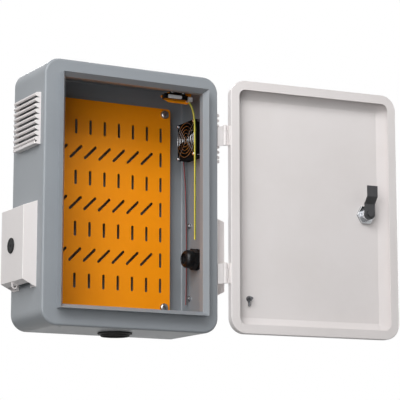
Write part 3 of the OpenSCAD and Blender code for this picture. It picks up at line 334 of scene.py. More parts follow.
# %% [markdown]
# ## Edges of folded sheet
# No edge of a real cabinet is perfectly sharp: a press brake leaves a bend a few millimetres round, and
# paint rounds what the shears leave. Those narrow bands catch the light as thin bright lines. One could
# model every bend by hand, but the CAD nodes already have the right shape. So each is copied, its
# loose triangles are merged and its flat faces joined, and its edges are bevelled: the folds of the door
# and the hoods more widely, cut edges by a fraction of a millimetre. Shading worked out face by face keeps
# the flats flat beside the round bands, and the bands are marked in an attribute, from which the paint
# takes a painted highlight: a lighter colour that adds to the light the bands catch.

# %% Soft-edged copies of CAD nodes
SLOT_OF_NODE = {part["node"]: part["material_slot"] for part in frame["record"]["subparts"]}
SAME_POINT = 2e-6  # metres between points that the CAD mesh repeats
SAME_PLANE = math.radians(0.5)
CUT_TURN, FOLD_TURN = 30, 40  # degrees that an edge turns before it is bevelled
CUT_STEPS, FOLD_STEPS = 2, 4
SHEET_TURN, MOULDED_TURN = 18, 40  # degrees that shading runs across, on sheet and on mouldings
BAND_TO_BROAD, BAND_TO_BAND = 35, 55  # the same for the narrow bands
ROUND_TURN = 60  # the same for wire


def applied(piece):
    """The piece with its modifiers turned into plain mesh."""
    seen_by_blender = bpy.context.evaluated_depsgraph_get()
    finished = bpy.data.meshes.new_from_object(piece.evaluated_get(seen_by_blender))
    piece.modifiers.clear()
    piece.data = finished
    return piece


def even_shading(piece, angle):
    """Smooth shading that leaves flat faces flat: a broad face shares its corners only with broad faces
    that turn by less than the angle, and a narrow band runs into the broad face beside it."""
    mesh = piece.data
    shade_smooth(mesh, ROUND_TURN)
    broad_limit, side_limit, band_limit = (
        math.cos(math.radians(a)) for a in (angle, BAND_TO_BROAD, BAND_TO_BAND))
    around = [[] for _ in mesh.vertices]
    for face in mesh.polygons:
        for vertex in face.vertices:
            around[vertex].append(face)
    band = mesh.attributes.get("edge")
    narrow = [bool(band and band.data[face.index].value > 0.5) for face in mesh.polygons]
    normals = []
    for face in mesh.polygons:
        for vertex in face.vertices:
            limit = side_limit if narrow[face.index] else broad_limit
            near = [other for other in around[vertex]
                    if not narrow[other.index] and other.normal.dot(face.normal) > limit]
            near = near or [other for other in around[vertex] if other.normal.dot(face.normal) > band_limit]
            total = Vector()
            for other in near:
                total += other.normal * other.area
            normals.append(total.normalized() if total.length > 1e-12 else face.normal.copy())
    mesh.normals_split_custom_set(normals)
    return piece


def stands_for(piece, node):
    """The piece takes the body and the place of a CAD node."""
    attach(piece, body_of(nodes[node])[0])
    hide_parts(node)
    return piece


def round_edges(bm, width, steps=CUT_STEPS, angle=CUT_TURN, chosen=lambda edge: True):
    """Bevel the edges that turn by more than the angle, and mark the bands."""
    band = bm.faces.layers.float.get("edge") or bm.faces.layers.float.new("edge")
    bm.normal_update()
    edges = [edge for edge in bm.edges if len(edge.link_faces) == 2 and edge.is_convex
             and edge.calc_face_angle(0) > math.radians(angle) and chosen(edge)]
    if not edges:
        return 0
    made = bmesh.ops.bevel(bm, geom=edges, offset=width, offset_type="OFFSET", segments=steps, profile=0.5,
                           affect="EDGES", clamp_overlap=True)
    for face in made["faces"]:
        face[band] = 1.0
    return len(edges)


def soft_edged(node, width, fold=0.0, fold_where=None, material=None, angle=SHEET_TURN):
    """Copy of a CAD node with its cut edges and chosen folds rounded, to stand for the node."""
    bm = bmesh.new()
    bm.from_mesh(nodes[node].data)
    bmesh.ops.remove_doubles(bm, verts=bm.verts, dist=SAME_POINT)
    bmesh.ops.dissolve_limit(bm, angle_limit=SAME_PLANE, verts=bm.verts, edges=bm.edges)
    folds = round_edges(bm, fold, FOLD_STEPS, FOLD_TURN, fold_where) if fold_where else 0
    cuts = round_edges(bm, width)
    mesh = bpy.data.meshes.new(node + "_sheet")
    bm.to_mesh(mesh)
    bm.free()
    mesh.materials.clear()
    piece = new_object(node + "_finished", mesh, material or FINISH_OF_SLOT[SLOT_OF_NODE[node]])
    print(f"{node}: {folds} folds, {cuts} cut edges, {len(mesh.polygons)} faces")
    return stands_for(even_shading(piece, angle), node)


# %% Sheet metal, fittings and moulded parts
def broad_folds(area):
    """Test for convex edges between two faces that are both larger than this many square metres."""
    return lambda edge: edge.is_convex and all(face.calc_area() > area for face in edge.link_faces)


soft_edged("cabinet_shell", 0.0003)
soft_edged("rain_collar", 0.0006)
soft_edged("door_panel", 0.0003, fold=0.0016, fold_where=broad_folds(0.0006), angle=10)
soft_edged("mounting_plate", 0.0004)
for side in ("left", "right"):
    soft_edged(side + "_hood", 0.0003, fold=0.0022, fold_where=broad_folds(0.0012))
    for fitting, width in (("_gland_body", 0.0004), ("_gland_cap", 0.0004), ("_gland_locknut", 0.0004),
                           ("_gland_seal", 0.0003), ("_hood_plug", 0.0004)):
        soft_edged(side + fitting, width)
for level in ("upper", "lower"):
    for fitting in ("_hinge_body_leaf", "_hinge_door_leaf", "_hinge_pin"):
        soft_edged(level + fitting, 0.0003)
for node, width in (("lock_keeper", 0.0003), ("fan_frame", 0.0004), ("switch_bracket", 0.0003),
                    ("switch_body", 0.0005), ("lock_cam", 0.0004), ("cam_screw", 0.0003),
                    ("hood_nuts", 0.0003), ("floor_grommet", 0.0006), ("plate_studs", 0.0004),
                    ("lock_housing", 0.0003)):
    soft_edged(node, width)
# The lock's nut and core take the darker chrome, whose darkness is painted shade; the earth fittings take
# dark zinc. Both carry a painted highlight on their edges.
for node, width, material in (("lock_nut", 0.0008, lock_chrome), ("lock_core", 0.0003, lock_chrome),
                              ("door_earth_stud", 0.0003, dark_zinc), ("door_earth_nut", 0.0003, dark_zinc),
                              ("door_earth_lug", 0.0002, dark_zinc), ("switch_lever", 0.0004, silver_satin),
                              ("earth_terminal", 0.0004, silver_satin)):
    soft_edged(node, width, material=material)

# %% [markdown]
# ## Things that repeat
# Louvre blades, fan blades, guard rings and screws are one shape made many times. Copying them by hand
# is slow to change, so Geometry Nodes place them: one tree repeats a shape along a step and a turn, one
# sets screws on their seats, and one bends wire into rings. Their sizes are inputs of the tree. The
# result is turned into plain mesh before it joins the cabinet.

# %% Mesh helpers
def mesh_from(name, bm, width=0.0):
    """Close a bmesh, turn its faces outwards, round its edges if asked, and give the mesh."""
    bmesh.ops.remove_doubles(bm, verts=bm.verts, dist=1e-6)
    bmesh.ops.recalc_face_normals(bm, faces=bm.faces)
    if width:
        round_edges(bm, width)
    mesh = bpy.data.meshes.new(name)
    bm.to_mesh(mesh)
    bm.free()
    return mesh


def prism(outline, y0, y1):
    """Outline of (x, z) points carried from y0 to y1."""
    bm = bmesh.new()
    near = [bm.verts.new((x, y0, z)) for x, z in outline]
    away = [bm.verts.new((x, y1, z)) for x, z in outline]
    bm.faces.new(near)
    bm.faces.new(away[::-1])
    for i in range(len(outline)):
        j = (i + 1) % len(outline)
        bm.faces.new((near[i], away[i], away[j], near[j]))
    return bm


def turned(outline, around):
    """Solid of revolution about X from (along, radius) points, closed where the radius is 0."""
    bm = bmesh.new()
    rings = []
    for along, radius in outline:
        angles = [2 * math.pi * k / around for k in range(around if radius > 1e-7 else 1)]
        rings.append([bm.verts.new((along, radius * math.cos(a), radius * math.sin(a))) for a in angles])
    for low, high in zip(rings, rings[1:]):
        for k in range(around):
            j = (k + 1) % around
            corners = [low[k % len(low)], high[k % len(high)], high[j % len(high)], low[j % len(low)]]
            corners = list(dict.fromkeys(corners))
            if len(corners) > 2:
                bm.faces.new(corners)
    return bm


def joined(name, *meshes):
    """One mesh from several that share their material."""
    bm = bmesh.new()
    for mesh in meshes:
        bm.from_mesh(mesh)
    result = bpy.data.meshes.new(name)
    bm.to_mesh(result)
    bm.free()
    for material in meshes[0].materials:
        result.materials.append(material)
    return result


def grown(name, mesh, tree, values):
    """Run a tree on a mesh with the named inputs, and keep the result as plain mesh in its one material."""
    piece = new_object(name, mesh)
    run = piece.modifiers.new("grow", "NODES")
    run.node_group = tree
    for socket in tree.interface.items_tree:
        if socket.item_type == "SOCKET" and socket.in_out == "INPUT" and socket.name in values:
            run[socket.identifier] = values[socket.name]
    applied(piece)
    piece.data.materials.clear()
    piece.data.materials.append(values["Material"])
    piece.data.polygons.foreach_set("material_index", [0] * len(piece.data.polygons))
    return piece


# %% Tree that repeats a shape
def tree_with(name, inputs):
    """Geometry tree with the named inputs, and the nodes that its inputs and outputs pass through."""
    tree = bpy.data.node_groups.new(name, "GeometryNodeTree")
    group_sockets(tree, "INPUT", (("Shape", "Geometry", None), *inputs, ("Material", "Material", None)))
    group_sockets(tree, "OUTPUT", (("Shape", "Geometry", None),))
    return tree, tree.nodes.new("NodeGroupInput"), tree.nodes.new("NodeGroupOutput")


def end_tree(tree, into, out, instances):
    """Every tree ends with real geometry in the given material."""
    add, link = tree.nodes.new, tree.links.new
    real = add("GeometryNodeRealizeInstances")
    paint = add("GeometryNodeSetMaterial")
    link(instances, real.inputs["Geometry"])
    link(real.outputs["Geometry"], paint.inputs["Geometry"])
    link(into.outputs["Material"], paint.inputs["Material"])
    link(paint.outputs["Geometry"], out.inputs["Shape"])


def make_repeat_tree():
    """Copies of a shape along a step, each turned by one turn more."""
    tree, into, out = tree_with("repeat_by_step_and_turn", (
        ("Count", "Int", 5), ("Start", "Vector", None), ("Step", "Vector", None), ("Turn", "Vector", None)))
    add, link = tree.nodes.new, tree.links.new
    line = add("GeometryNodeMeshLine")
    link(into.outputs["Count"], line.inputs["Count"])
    link(into.outputs["Start"], line.inputs["Start Location"])
    link(into.outputs["Step"], line.inputs["Offset"])
    number = add("GeometryNodeInputIndex")
    turn = add("ShaderNodeVectorMath")
    turn.operation = "SCALE"
    link(into.outputs["Turn"], turn.inputs[0])
    link(number.outputs["Index"], turn.inputs["Scale"])
    copies = add("GeometryNodeInstanceOnPoints")
    link(line.outputs["Mesh"], copies.inputs["Points"])
    link(into.outputs["Shape"], copies.inputs["Instance"])
    link(turn.outputs["Vector"], copies.inputs["Rotation"])
    end_tree(tree, into, out, copies.outputs["Instances"])
    return tree


REPEAT = make_repeat_tree()

# %% [markdown]
# ## The louvres
# Each side has a moulded louvre of nine blades between two saw-toothed cheeks. A blade is no flat strip:
# it bulges out and curls under, bright on its shoulder and dark below. Its section is drawn once and
# carried along the louvre, and the tree sets the nine blades one pitch apart.

# %% Louvres
BLADES, BLADE_PITCH, BLADE_WALL = 9, 0.0114, 0.0022
CHEEK_REACH, CHEEK_ROUND = 0.013, 0.0003
SILL_TOP, SILL_ROUND = 0.0096, 0.0004  # the sill's upper edge, below the last blade's top
SILL_LIP, SILL_ROOT = 0.0115, 0.0108  # how far out the sill's inner face starts and ends
# Sections in millimetres, outwards from the wall and up.
BLADE_OUTSIDE = [(0, 0), (5, -0.3), (8.6, -0.8), (11.2, -1.8), (12.6, -3.4), (12.9, -5.0), (12.3, -6.5),
                 (11.0, -7.6), (9.9, -7.9)]
BLADE_INSIDE = [(9.7, -7.1), (10.6, -6.7), (11.3, -5.9), (11.5, -4.9), (11.1, -3.9), (10.0, -2.9),
                (7.8, -2.1), (4.6, -1.6), (0, -1.4)]
CHEEK_TOOTH = [(2.2, 0), (8.6, -0.8), (11.2, -1.8), (12.6, -3.4), (12.9, -5.0), (12.3, -6.5),
               (11.0, -7.6), (6.4, -9.6)]


def louvre(side, sign):
    """Louvre on one side's wall, where sign is the way out along X."""
    low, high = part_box(side + "_louvre")
    wall = low.x if sign > 0 else high.x
    front, back, top, bottom = low.y, high.y, high.z, low.z
    blade = prism([(sign * x / 1000, z / 1000) for x, z in BLADE_OUTSIDE + BLADE_INSIDE],
                  front + BLADE_WALL / 2, back - BLADE_WALL / 2)
    blades = grown(side + "_louvre_blades", mesh_from("blade", blade), REPEAT, {
        "Count": BLADES, "Start": (wall, 0, top), "Step": (0, 0, -BLADE_PITCH), "Material": cream_paint})
    teeth = [(wall + sign * x / 1000, top + z / 1000 - i * BLADE_PITCH)
             for i in range(BLADES) for x, z in CHEEK_TOOTH]
    outer = wall + sign * CHEEK_REACH
    edge = [(wall, top)] + teeth + [(outer, bottom), (wall, bottom)]
    cheeks = [mesh_from("cheek", prism(edge, y, y + BLADE_WALL), CHEEK_ROUND)
              for y in (front, back - BLADE_WALL)]
    last = top - (BLADES - 1) * BLADE_PITCH - SILL_TOP
    section = [(wall, bottom), (outer, bottom), (outer, last), (wall + sign * SILL_LIP, last),
               (wall + sign * SILL_ROOT, bottom + BLADE_WALL), (wall, bottom + BLADE_WALL)]
    sill = mesh_from("sill", prism(section, front + BLADE_WALL / 2, back - BLADE_WALL / 2), SILL_ROUND)
    blades.data = joined(side + "_louvre_moulding", blades.data, *cheeks, sill)
    return stands_for(even_shading(blades, MOULDED_TURN), side + "_louvre")


for side, sign in (("left", -1), ("right", 1)):
    print(side, "louvre:", len(louvre(side, sign).data.polygons), "faces")

# %% [markdown]
# ## Screws
# The heads of the plate, fan, hood, hinge and switch screws all show. A head is turned like a real one,
# with a rounded crown, and its slot or cross is cut by a boolean inside the tree. The CAD solids already
# say where each screw sits and how big it is, so their boxes are read instead of typed. Nobody lines up
# screw slots, so each is turned by a random angle with a fixed seed.

# %% Screw tree
def make_screw_tree():
    """A screw on each seat, facing as the seat says, with its slots at a random turn."""
    tree, into, out = tree_with("screws_on_seats", (
        ("Screw", "Object", None), ("Slot Size", "Vector", None), ("Slot Place", "Vector", None),
        ("Second Slot", "Vector", None), ("Loosest Turn", "Float", 6.28), ("Seed", "Int", 1)))
    add, link = tree.nodes.new, tree.links.new
    shape = add("GeometryNodeObjectInfo")
    link(into.outputs["Screw"], shape.inputs["Object"])
    slots = add("GeometryNodeJoinGeometry")
    for second in (False, True):
        bar = add("GeometryNodeMeshCube")
        place = add("GeometryNodeTransform")
        link(into.outputs["Slot Size"], bar.inputs["Size"])
        link(bar.outputs["Mesh"], place.inputs["Geometry"])
        link(into.outputs["Slot Place"], place.inputs["Translation"])
        if second:
            link(into.outputs["Second Slot"], place.inputs["Rotation"])
        link(place.outputs["Geometry"], slots.inputs["Geometry"])
    cut = add("GeometryNodeMeshBoolean")
    cut.operation, cut.solver = "DIFFERENCE", "EXACT"
    cut.inputs["Self Intersection"].default_value = True
    link(shape.outputs["Geometry"], cut.inputs["Mesh 1"])
    link(slots.outputs["Geometry"], cut.inputs["Mesh 2"])
    facing = add("GeometryNodeInputNamedAttribute")
    facing.data_type = "FLOAT_VECTOR"
    facing.inputs["Name"].default_value = "facing"
    aim_head = add("FunctionNodeAlignRotationToVector")
    aim_head.axis = "X"
    link(facing.outputs["Attribute"], aim_head.inputs["Vector"])
    chance = add("FunctionNodeRandomValue")
    chance.data_type = "FLOAT"
    link(into.outputs["Loosest Turn"], chance.inputs[3])
    link(into.outputs["Seed"], chance.inputs["Seed"])
    spin = add("ShaderNodeCombineXYZ")
    link(chance.outputs[1], spin.inputs["X"])
    turn = add("FunctionNodeRotateRotation")
    turn.rotation_space = "LOCAL"
    link(aim_head.outputs["Rotation"], turn.inputs["Rotation"])
    link(spin.outputs["Vector"], turn.inputs["Rotate By"])
    copies = add("GeometryNodeInstanceOnPoints")
    link(into.outputs["Shape"], copies.inputs["Points"])
    link(cut.outputs["Mesh"], copies.inputs["Instance"])
    link(turn.outputs["Rotation"], copies.inputs["Rotation"])
    end_tree(tree, into, out, copies.outputs["Instances"])
    return tree


SCREWS = make_screw_tree()


# %% Screws on their seats
def separate_boxes(node):
    """Lowest and highest corner of each separate solid in a CAD node."""
    bm = bmesh.new()
    bm.from_mesh(nodes[node].data)
    bmesh.ops.remove_doubles(bm, verts=bm.verts, dist=SAME_POINT)
    left, boxes = set(bm.verts), []
    while left:
        group, border = set(), [left.pop()]
        while border:
            vert = border.pop()
            group.add(vert)
            for edge in vert.link_edges:
                other = edge.other_vert(vert)
                if other in left:
                    left.discard(other)
                    border.append(other)
        boxes.append((Vector([min(v.co[i] for v in group) for i in range(3)]),
                      Vector([max(v.co[i] for v in group) for i in range(3)])))
    bm.free()
    return sorted(boxes, key=lambda box: tuple(round(v, 5) for v in box[0]))


HEAD_HEIGHT, HEAD_RIM = 0.36, 0.62  # height over width of a head, and the rounded part of that height
POINT_BEVEL, NECK, UNDERCUT, SEAT_EDGE = 0.0004, 0.0002, 0.0004, 0.0003
SLOT_DEPTH, SLOT_ABOVE = 0.62, 0.1  # shares of the head's height and of the slot's depth
CROSS_SLOT, SINGLE_SLOT = (0.52, 0.1), (1.2, 0.13)  # length and width, in head widths
SCREW_SIDES, HUB_SIDES = 40, 48


def set_screws(node, axis, facing_of, shank, cross, seed, material):
    """Turned screws in the boxes of a node's solids, along an axis (0 for X), heads as facing_of says."""
    boxes = separate_boxes(node)
    low, high = boxes[0]
    across = max(high[i] - low[i] for i in range(3) if i != axis)
    head, length = across * HEAD_HEIGHT, high[axis] - low[axis]
    r, rim = across / 2, across * HEAD_HEIGHT * HEAD_RIM
    crown_line = [(head - rim + rim * math.sin(a), r - rim + rim * math.cos(a))
                  for a in (math.radians(15 * k) for k in range(7))]
    outline = ([(head - length, 0), (head - length, shank / 2 - POINT_BEVEL),
                (head - length + POINT_BEVEL, shank / 2), (-NECK, shank / 2), (0, r - UNDERCUT),
                (SEAT_EDGE, r)] + crown_line + [(head, r * 0.3), (head, 0)])
    screw = new_object("screw", mesh_from("screw", turned(outline, SCREW_SIDES)))
    seats = bpy.data.meshes.new("seats")
    faces = [facing_of(low) for low, _ in boxes]
    points = [(low + high) / 2 for low, high in boxes]
    for point, face, (low, high) in zip(points, faces, boxes):
        point[axis] = (high if face[axis] > 0 else low)[axis] - face[axis] * head
    seats.from_pydata(points, [], [])
    seats.attributes.new("facing", "FLOAT_VECTOR", "POINT").data.foreach_set(
        "vector", [c for face in faces for c in face])
    depth = head * SLOT_DEPTH
    slot_l, slot_w = (across * share for share in (CROSS_SLOT if cross else SINGLE_SLOT))
    piece = grown(node + "_turned", seats, SCREWS, {
        "Screw": screw, "Slot Size": (depth * 2, slot_l, slot_w),
        "Slot Place": (head + depth * SLOT_ABOVE, 0, 0),
        "Second Slot": (math.pi / 2 if cross else 0, 0, 0), "Seed": seed, "Material": material})
    bpy.data.objects.remove(screw)
    print(f"{node}: {len(boxes)} screws, head {across * 1000:.1f} mm, {len(piece.data.polygons)} faces")
    return stands_for(even_shading(piece, MOULDED_TURN), node)


def outwards(low):
    """Away from the cabinet's middle, along X."""
    return (1, 0, 0) if low.x > 0 else (-1, 0, 0)


set_screws("plate_screws", 1, lambda low: (0, -1, 0), 0.005, False, 4, satin_plate)
set_screws("fan_screws", 0, lambda low: (-1, 0, 0), 0.004, True, 2, bright_chrome)
set_screws("hood_bolts", 0, outwards, 0.005, True, 7, zinc)
set_screws("hinge_screws", 0, outwards, 0.005, True, 5, zinc)
set_screws("switch_screw", 1, lambda low: (0, -1, 0), 0.003, True, 3, bright_chrome)

# %% [markdown]
# ## The fan
# Behind the chromed finger guard turns a moulded rotor. Its blades are twisted and cambered like real
# ones, one is drawn as a curved sheet with a thickness, and the repeating tree sets seven round the hub.
# The guard is wire, so a tree grows circles of wire on the same axis, each one step wider.

# %% Rotor
FAN_BLADES, HUB_R, TIP_R, BLADE_SKIN = 7, 0.0145, 0.0362, 0.0013
OUTWARD_STEPS, CHORD_STEPS = 7, 8
ROOT_IN_HUB, NEARER_GUARD = 0.0015, 0.0015
ROOT_TURN, LESS_AT_TIP, TIP_SWEEP = 64, 5, 14  # degrees round the axis
BLADE_DEPTH, SHALLOWER_AT_TIP, CAMBER = 0.0135, 0.0015, 0.0012
HUB_DOME = ((0, 0), (0, 0.0112), (0.0006, 0.013), (0.002, 0.0143), (0.0045, HUB_R))
AXLE_OUT, AXLE_R = 0.0032, 0.0015


def fan_blade():
    """One blade as a curved sheet from inside the hub to the tip, thickened about its middle."""
    bm = bmesh.new()
    rows = []
    for i in range(OUTWARD_STEPS + 1):
        out = i / OUTWARD_STEPS
        radius = HUB_R - ROOT_IN_HUB + (TIP_R - HUB_R + ROOT_IN_HUB) * out
        depth = BLADE_DEPTH - SHALLOWER_AT_TIP * out
        row = []
        for k in range(CHORD_STEPS + 1):
            chord = k / CHORD_STEPS - 0.5
            angle = chord * math.radians(ROOT_TURN - LESS_AT_TIP * out) + math.radians(TIP_SWEEP) * out ** 2
            row.append(bm.verts.new((-chord * depth + CAMBER * (1 - 4 * chord ** 2),
                                     radius * math.cos(angle), radius * math.sin(angle))))
        rows.append(row)
    for near, far in zip(rows, rows[1:]):
        for k in range(CHORD_STEPS):
            bm.faces.new((near[k], near[k + 1], far[k + 1], far[k]))
    sheet = new_object("blade", mesh_from("blade", bm))
    wall = sheet.modifiers.new("wall", "SOLIDIFY")
    wall.thickness, wall.offset = BLADE_SKIN, 0
    applied(sheet)
    mesh = sheet.data
    bpy.data.objects.remove(sheet)
    return mesh


rotor_low, rotor_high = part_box("fan_rotor")
hub_centre = (rotor_low + rotor_high) / 2
rotor = grown("fan_rotor_moulded", fan_blade(), REPEAT, {
    "Count": FAN_BLADES,
    "Start": ((rotor_low.x + rotor_high.x) / 2 - NEARER_GUARD, hub_centre.y, hub_centre.z),
    "Turn": (2 * math.pi / FAN_BLADES, 0, 0), "Material": black_plastic})
hub_end = rotor_high.x
hub = turned([(rotor_low.x + along, radius) for along, radius in HUB_DOME]
             + [(hub_end - AXLE_OUT, HUB_R), (hub_end - AXLE_OUT, AXLE_R),
                (hub_end, AXLE_R), (hub_end, 0)], HUB_SIDES)
bmesh.ops.translate(hub, verts=hub.verts, vec=(0, hub_centre.y, hub_centre.z))
rotor.data = joined("rotor", rotor.data, mesh_from("hub", hub))
stands_for(even_shading(rotor, MOULDED_TURN), "fan_rotor")
print("rotor:", len(rotor.data.polygons), "faces")

# %% Finger guard
GUARD_WIRE, GUARD_RINGS, RING_STEP, SCREW_SPAN, EYE_R = 0.0018, 5, 0.0074, 0.0715, 0.0034
RING_SIDES, WIRE_SIDES = 72, 10
SPOKES_BEHIND = 0.7 * GUARD_WIRE  # the rings are welded on the spokes


def make_ring_tree():
    """Rings of wire, each one spacing wider, joined to the spokes that come in."""
    tree, into, out = tree_with("rings_of_wire", (
        ("Rings", "Int", 5), ("Spacing", "Float", 0.007), ("Wire", "Float", 0.0018),
        ("Axis Turn", "Vector", None)))
    add, link = tree.nodes.new, tree.links.new
    line = add("GeometryNodeMeshLine")
    line.inputs["Offset"].default_value = (0, 0, 0)
    circle = add("GeometryNodeCurvePrimitiveCircle")
    circle.inputs["Resolution"].default_value = RING_SIDES
    link(into.outputs["Spacing"], circle.inputs["Radius"])
    link(into.outputs["Rings"], line.inputs["Count"])
    number = add("GeometryNodeInputIndex")
    wider = add("ShaderNodeMath")
    wider.operation = "ADD"
    wider.inputs[1].default_value = 1
    link(number.outputs["Index"], wider.inputs[0])
    copies = add("GeometryNodeInstanceOnPoints")
    link(line.outputs["Mesh"], copies.inputs["Points"])
    link(circle.outputs["Curve"], copies.inputs["Instance"])
    link(into.outputs["Axis Turn"], copies.inputs["Rotation"])
    link(wider.outputs["Value"], copies.inputs["Scale"])
    real = add("GeometryNodeRealizeInstances")
    link(copies.outputs["Instances"], real.inputs["Geometry"])
    section = add("GeometryNodeCurvePrimitiveCircle")
    section.inputs["Resolution"].default_value = WIRE_SIDES
    half = add("ShaderNodeMath")
    half.operation = "MULTIPLY"
    half.inputs[1].default_value = 0.5
    link(into.outputs["Wire"], half.inputs[0])
    link(half.outputs["Value"], section.inputs["Radius"])
    wire = add("GeometryNodeCurveToMesh")
    link(real.outputs["Geometry"], wire.inputs["Curve"])
    link(section.outputs["Curve"], wire.inputs["Profile Curve"])
    both = add("GeometryNodeJoinGeometry")
    link(wire.outputs["Mesh"], both.inputs["Geometry"])
    link(into.outputs["Shape"], both.inputs["Geometry"])
    end_tree(tree, into, out, both.outputs["Geometry"])
    return tree


RINGS = make_ring_tree()
frame_low, frame_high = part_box("fan_frame")
fan_centre = (frame_low + frame_high) / 2
guard_x = frame_low.x - GUARD_WIRE / 2


def wire_along(points, closed=False):
    """Round wire through the points, in a plane that X stands square on."""
    section = [(math.cos(a) * GUARD_WIRE / 2, math.sin(a) * GUARD_WIRE / 2)
               for a in (math.radians(360 / WIRE_SIDES * k) for k in range(WIRE_SIDES))]
    bm = bmesh.new()
    count = len(points)
    rings = []
    for i, point in enumerate(points):
        before = points[i - 1] if closed or i else point
        after = points[(i + 1) % count] if closed or i < count - 1 else point
        along = (after - before).normalized()
        side = along.cross(Vector((1, 0, 0)))
        rings.append([bm.verts.new(point + Vector((1, 0, 0)) * u + side * v) for u, v in section])
    pairs = list(zip(rings, rings[1:])) + ([(rings[-1], rings[0])] if closed else [])
    for low, high in pairs:
        for k in range(WIRE_SIDES):
            j = (k + 1) % WIRE_SIDES
            bm.faces.new((low[k], low[j], high[j], high[k]))
    if not closed:
        bm.faces.new(rings[0])
        bm.faces.new(rings[-1][::-1])
    return mesh_from("wire", bm)


wires = []
reach = SCREW_SPAN / 2 * math.sqrt(2) - EYE_R
for turn in (45, 135):
    along = Vector((0, math.cos(math.radians(turn)), math.sin(math.radians(turn))))
    wires.append(wire_along([along * (reach * k / 6) for k in range(-6, 7)]))
for y in (-1, 1):
    for z in (-1, 1):
        eye = Vector((0, y * SCREW_SPAN / 2, z * SCREW_SPAN / 2))
        wires.append(wire_along([eye + EYE_R * Vector((0, math.cos(a), math.sin(a)))
                                 for a in (math.radians(15 * k) for k in range(24))], closed=True))
spokes = joined("spokes", *wires)
spokes.transform(Matrix.Translation((SPOKES_BEHIND, 0, 0)))
guard = grown("fan_guard_wires", spokes, RINGS, {
    "Rings": GUARD_RINGS, "Spacing": RING_STEP, "Wire": GUARD_WIRE, "Axis Turn": (0, math.pi / 2, 0),
    "Material": guard_plate})
guard.data.transform(Matrix.Translation((guard_x - SPOKES_BEHIND, fan_centre.y, fan_centre.z)))
shade_smooth(guard.data, ROUND_TURN)
stands_for(guard, "fan_guard")
print("guard:", len(guard.data.polygons), "faces")

# %% [markdown]
# ## The two leads
# A yellow and green earth wire hangs from the terminal under the roof, and a red and black twin lead
# hangs from the fan. Both were cut off bare. Each is one section swept along its route, with the ring of
# the section turned the same way all along, so that a stripe stays on its own side.

# %% Route helpers
def smooth_route(points, steps=4):
    """Catmull-Rom line through the points, the same curve as the CAD tube follows."""
    line = []
    for i in range(len(points) - 1):
        a, b = points[max(i - 1, 0)], points[i]
        c, d = points[i + 1], points[min(i + 2, len(points) - 1)]
        for k in range(steps):
            t = k / steps
            line.append(0.5 * ((2 * b) + (c - a) * t + (2 * a - 5 * b + 4 * c - d) * t * t
                               + (3 * b - a - 3 * c + d) * t ** 3))
    return line + [points[-1]]


def route_length(line):
    """Length in metres along a line of points."""
    return sum((b - a).length for a, b in zip(line, line[1:]))


def sweep(name, line, section, wide, band_of_side):
    """Tube with the given section (points across, in metres), its first axis kept along wide."""
    bm = bmesh.new()
    rings = []
    for i, point in enumerate(line):
        along = (line[min(i + 1, len(line) - 1)] - line[max(i - 1, 0)]).normalized()
        across = (wide - wide.dot(along) * along).normalized()
        side = along.cross(across)
        rings.append([bm.verts.new(point + across * u + side * v) for u, v in section])
    count = len(section)
    for lower, upper in zip(rings, rings[1:]):
        for k in range(count):
            face = bm.faces.new((lower[k], lower[(k + 1) % count], upper[(k + 1) % count], upper[k]))
            face.material_index = band_of_side(k)
    start, end = bm.faces.new(rings[0][::-1]), bm.faces.new(rings[-1])
    start.material_index = end.material_index = 0
    bmesh.ops.recalc_face_normals(bm, faces=bm.faces)
    mesh = bpy.data.meshes.new(name)
    bm.to_mesh(mesh)
    bm.free()
    shade_smooth(mesh, 50)
    return mesh


# %% Earth wire and fan lead
# Routes in metres, as the CAD tubes run.
TERMINAL_X, WIRE_X, WIRE_Y = 0.153, 0.167, -0.118
WIRE_TOP, WIRE_BEND, WIRE_STEP = 0.2245, 0.058, 0.029625
EARTH_BEND = ((0, 0), (0.06, 0.04), (0.36, 0.14), (0.68, 0.34), (0.84, 0.53), (0.95, 0.76))
EARTH_ROUTE = ([Vector((TERMINAL_X + (WIRE_X - TERMINAL_X) * across, WIRE_Y, WIRE_TOP - WIRE_BEND * down))
                for across, down in EARTH_BEND]
               + [Vector((WIRE_X - 0.0003 + min(i, 4) / 8000, WIRE_Y, WIRE_TOP - WIRE_BEND - i * WIRE_STEP))
                  for i in range(9)])
LEAD_X, LEAD_WALL_X, LEAD_Y = 0.186, 0.1928, -0.033
LEAD_TOP, LEAD_BEND, LEAD_STEP = 0.113, 0.055, 0.0257
LEAD_BOW, LEAD_CURL = 0.0026, 0.0006  # off the wall near the fan and at the lower end
FAN_LEAD_BEND = ((0, 0), (0.03, 0.13), (0.18, 0.35), (0.38, 0.65))
LEAD_ROUTE = ([Vector((LEAD_X + (LEAD_WALL_X - LEAD_X) * across, LEAD_Y, LEAD_TOP - LEAD_BEND * down))
               for across, down in FAN_LEAD_BEND]
              + [Vector((LEAD_WALL_X - LEAD_BOW * (1 - min(i, 6) / 6) ** 2
                         - LEAD_CURL * (max(i - 7, 0) / 2) ** 2,
                         LEAD_Y, LEAD_TOP - LEAD_BEND - i * LEAD_STEP)) for i in range(11)])
EARTH_D, LEAD_W = 0.0042, 0.0036

earth_yellow = finish("earth_yellow", "D2C23D", "B9AA34", 0.35, 0.5, size=60, amount=0.3)
earth_green = finish("earth_green", "4C6B2E", "3E5A28", 0.35, 0.5, size=60, amount=0.3)
lead_red = finish("lead_red", "B83C40", "96302F", 0.35, 0.5, size=60, amount=0.3)
lead_black = finish("lead_black", "1A1A1B", "28282A", 0.35, 0.5, size=60, amount=0.3)

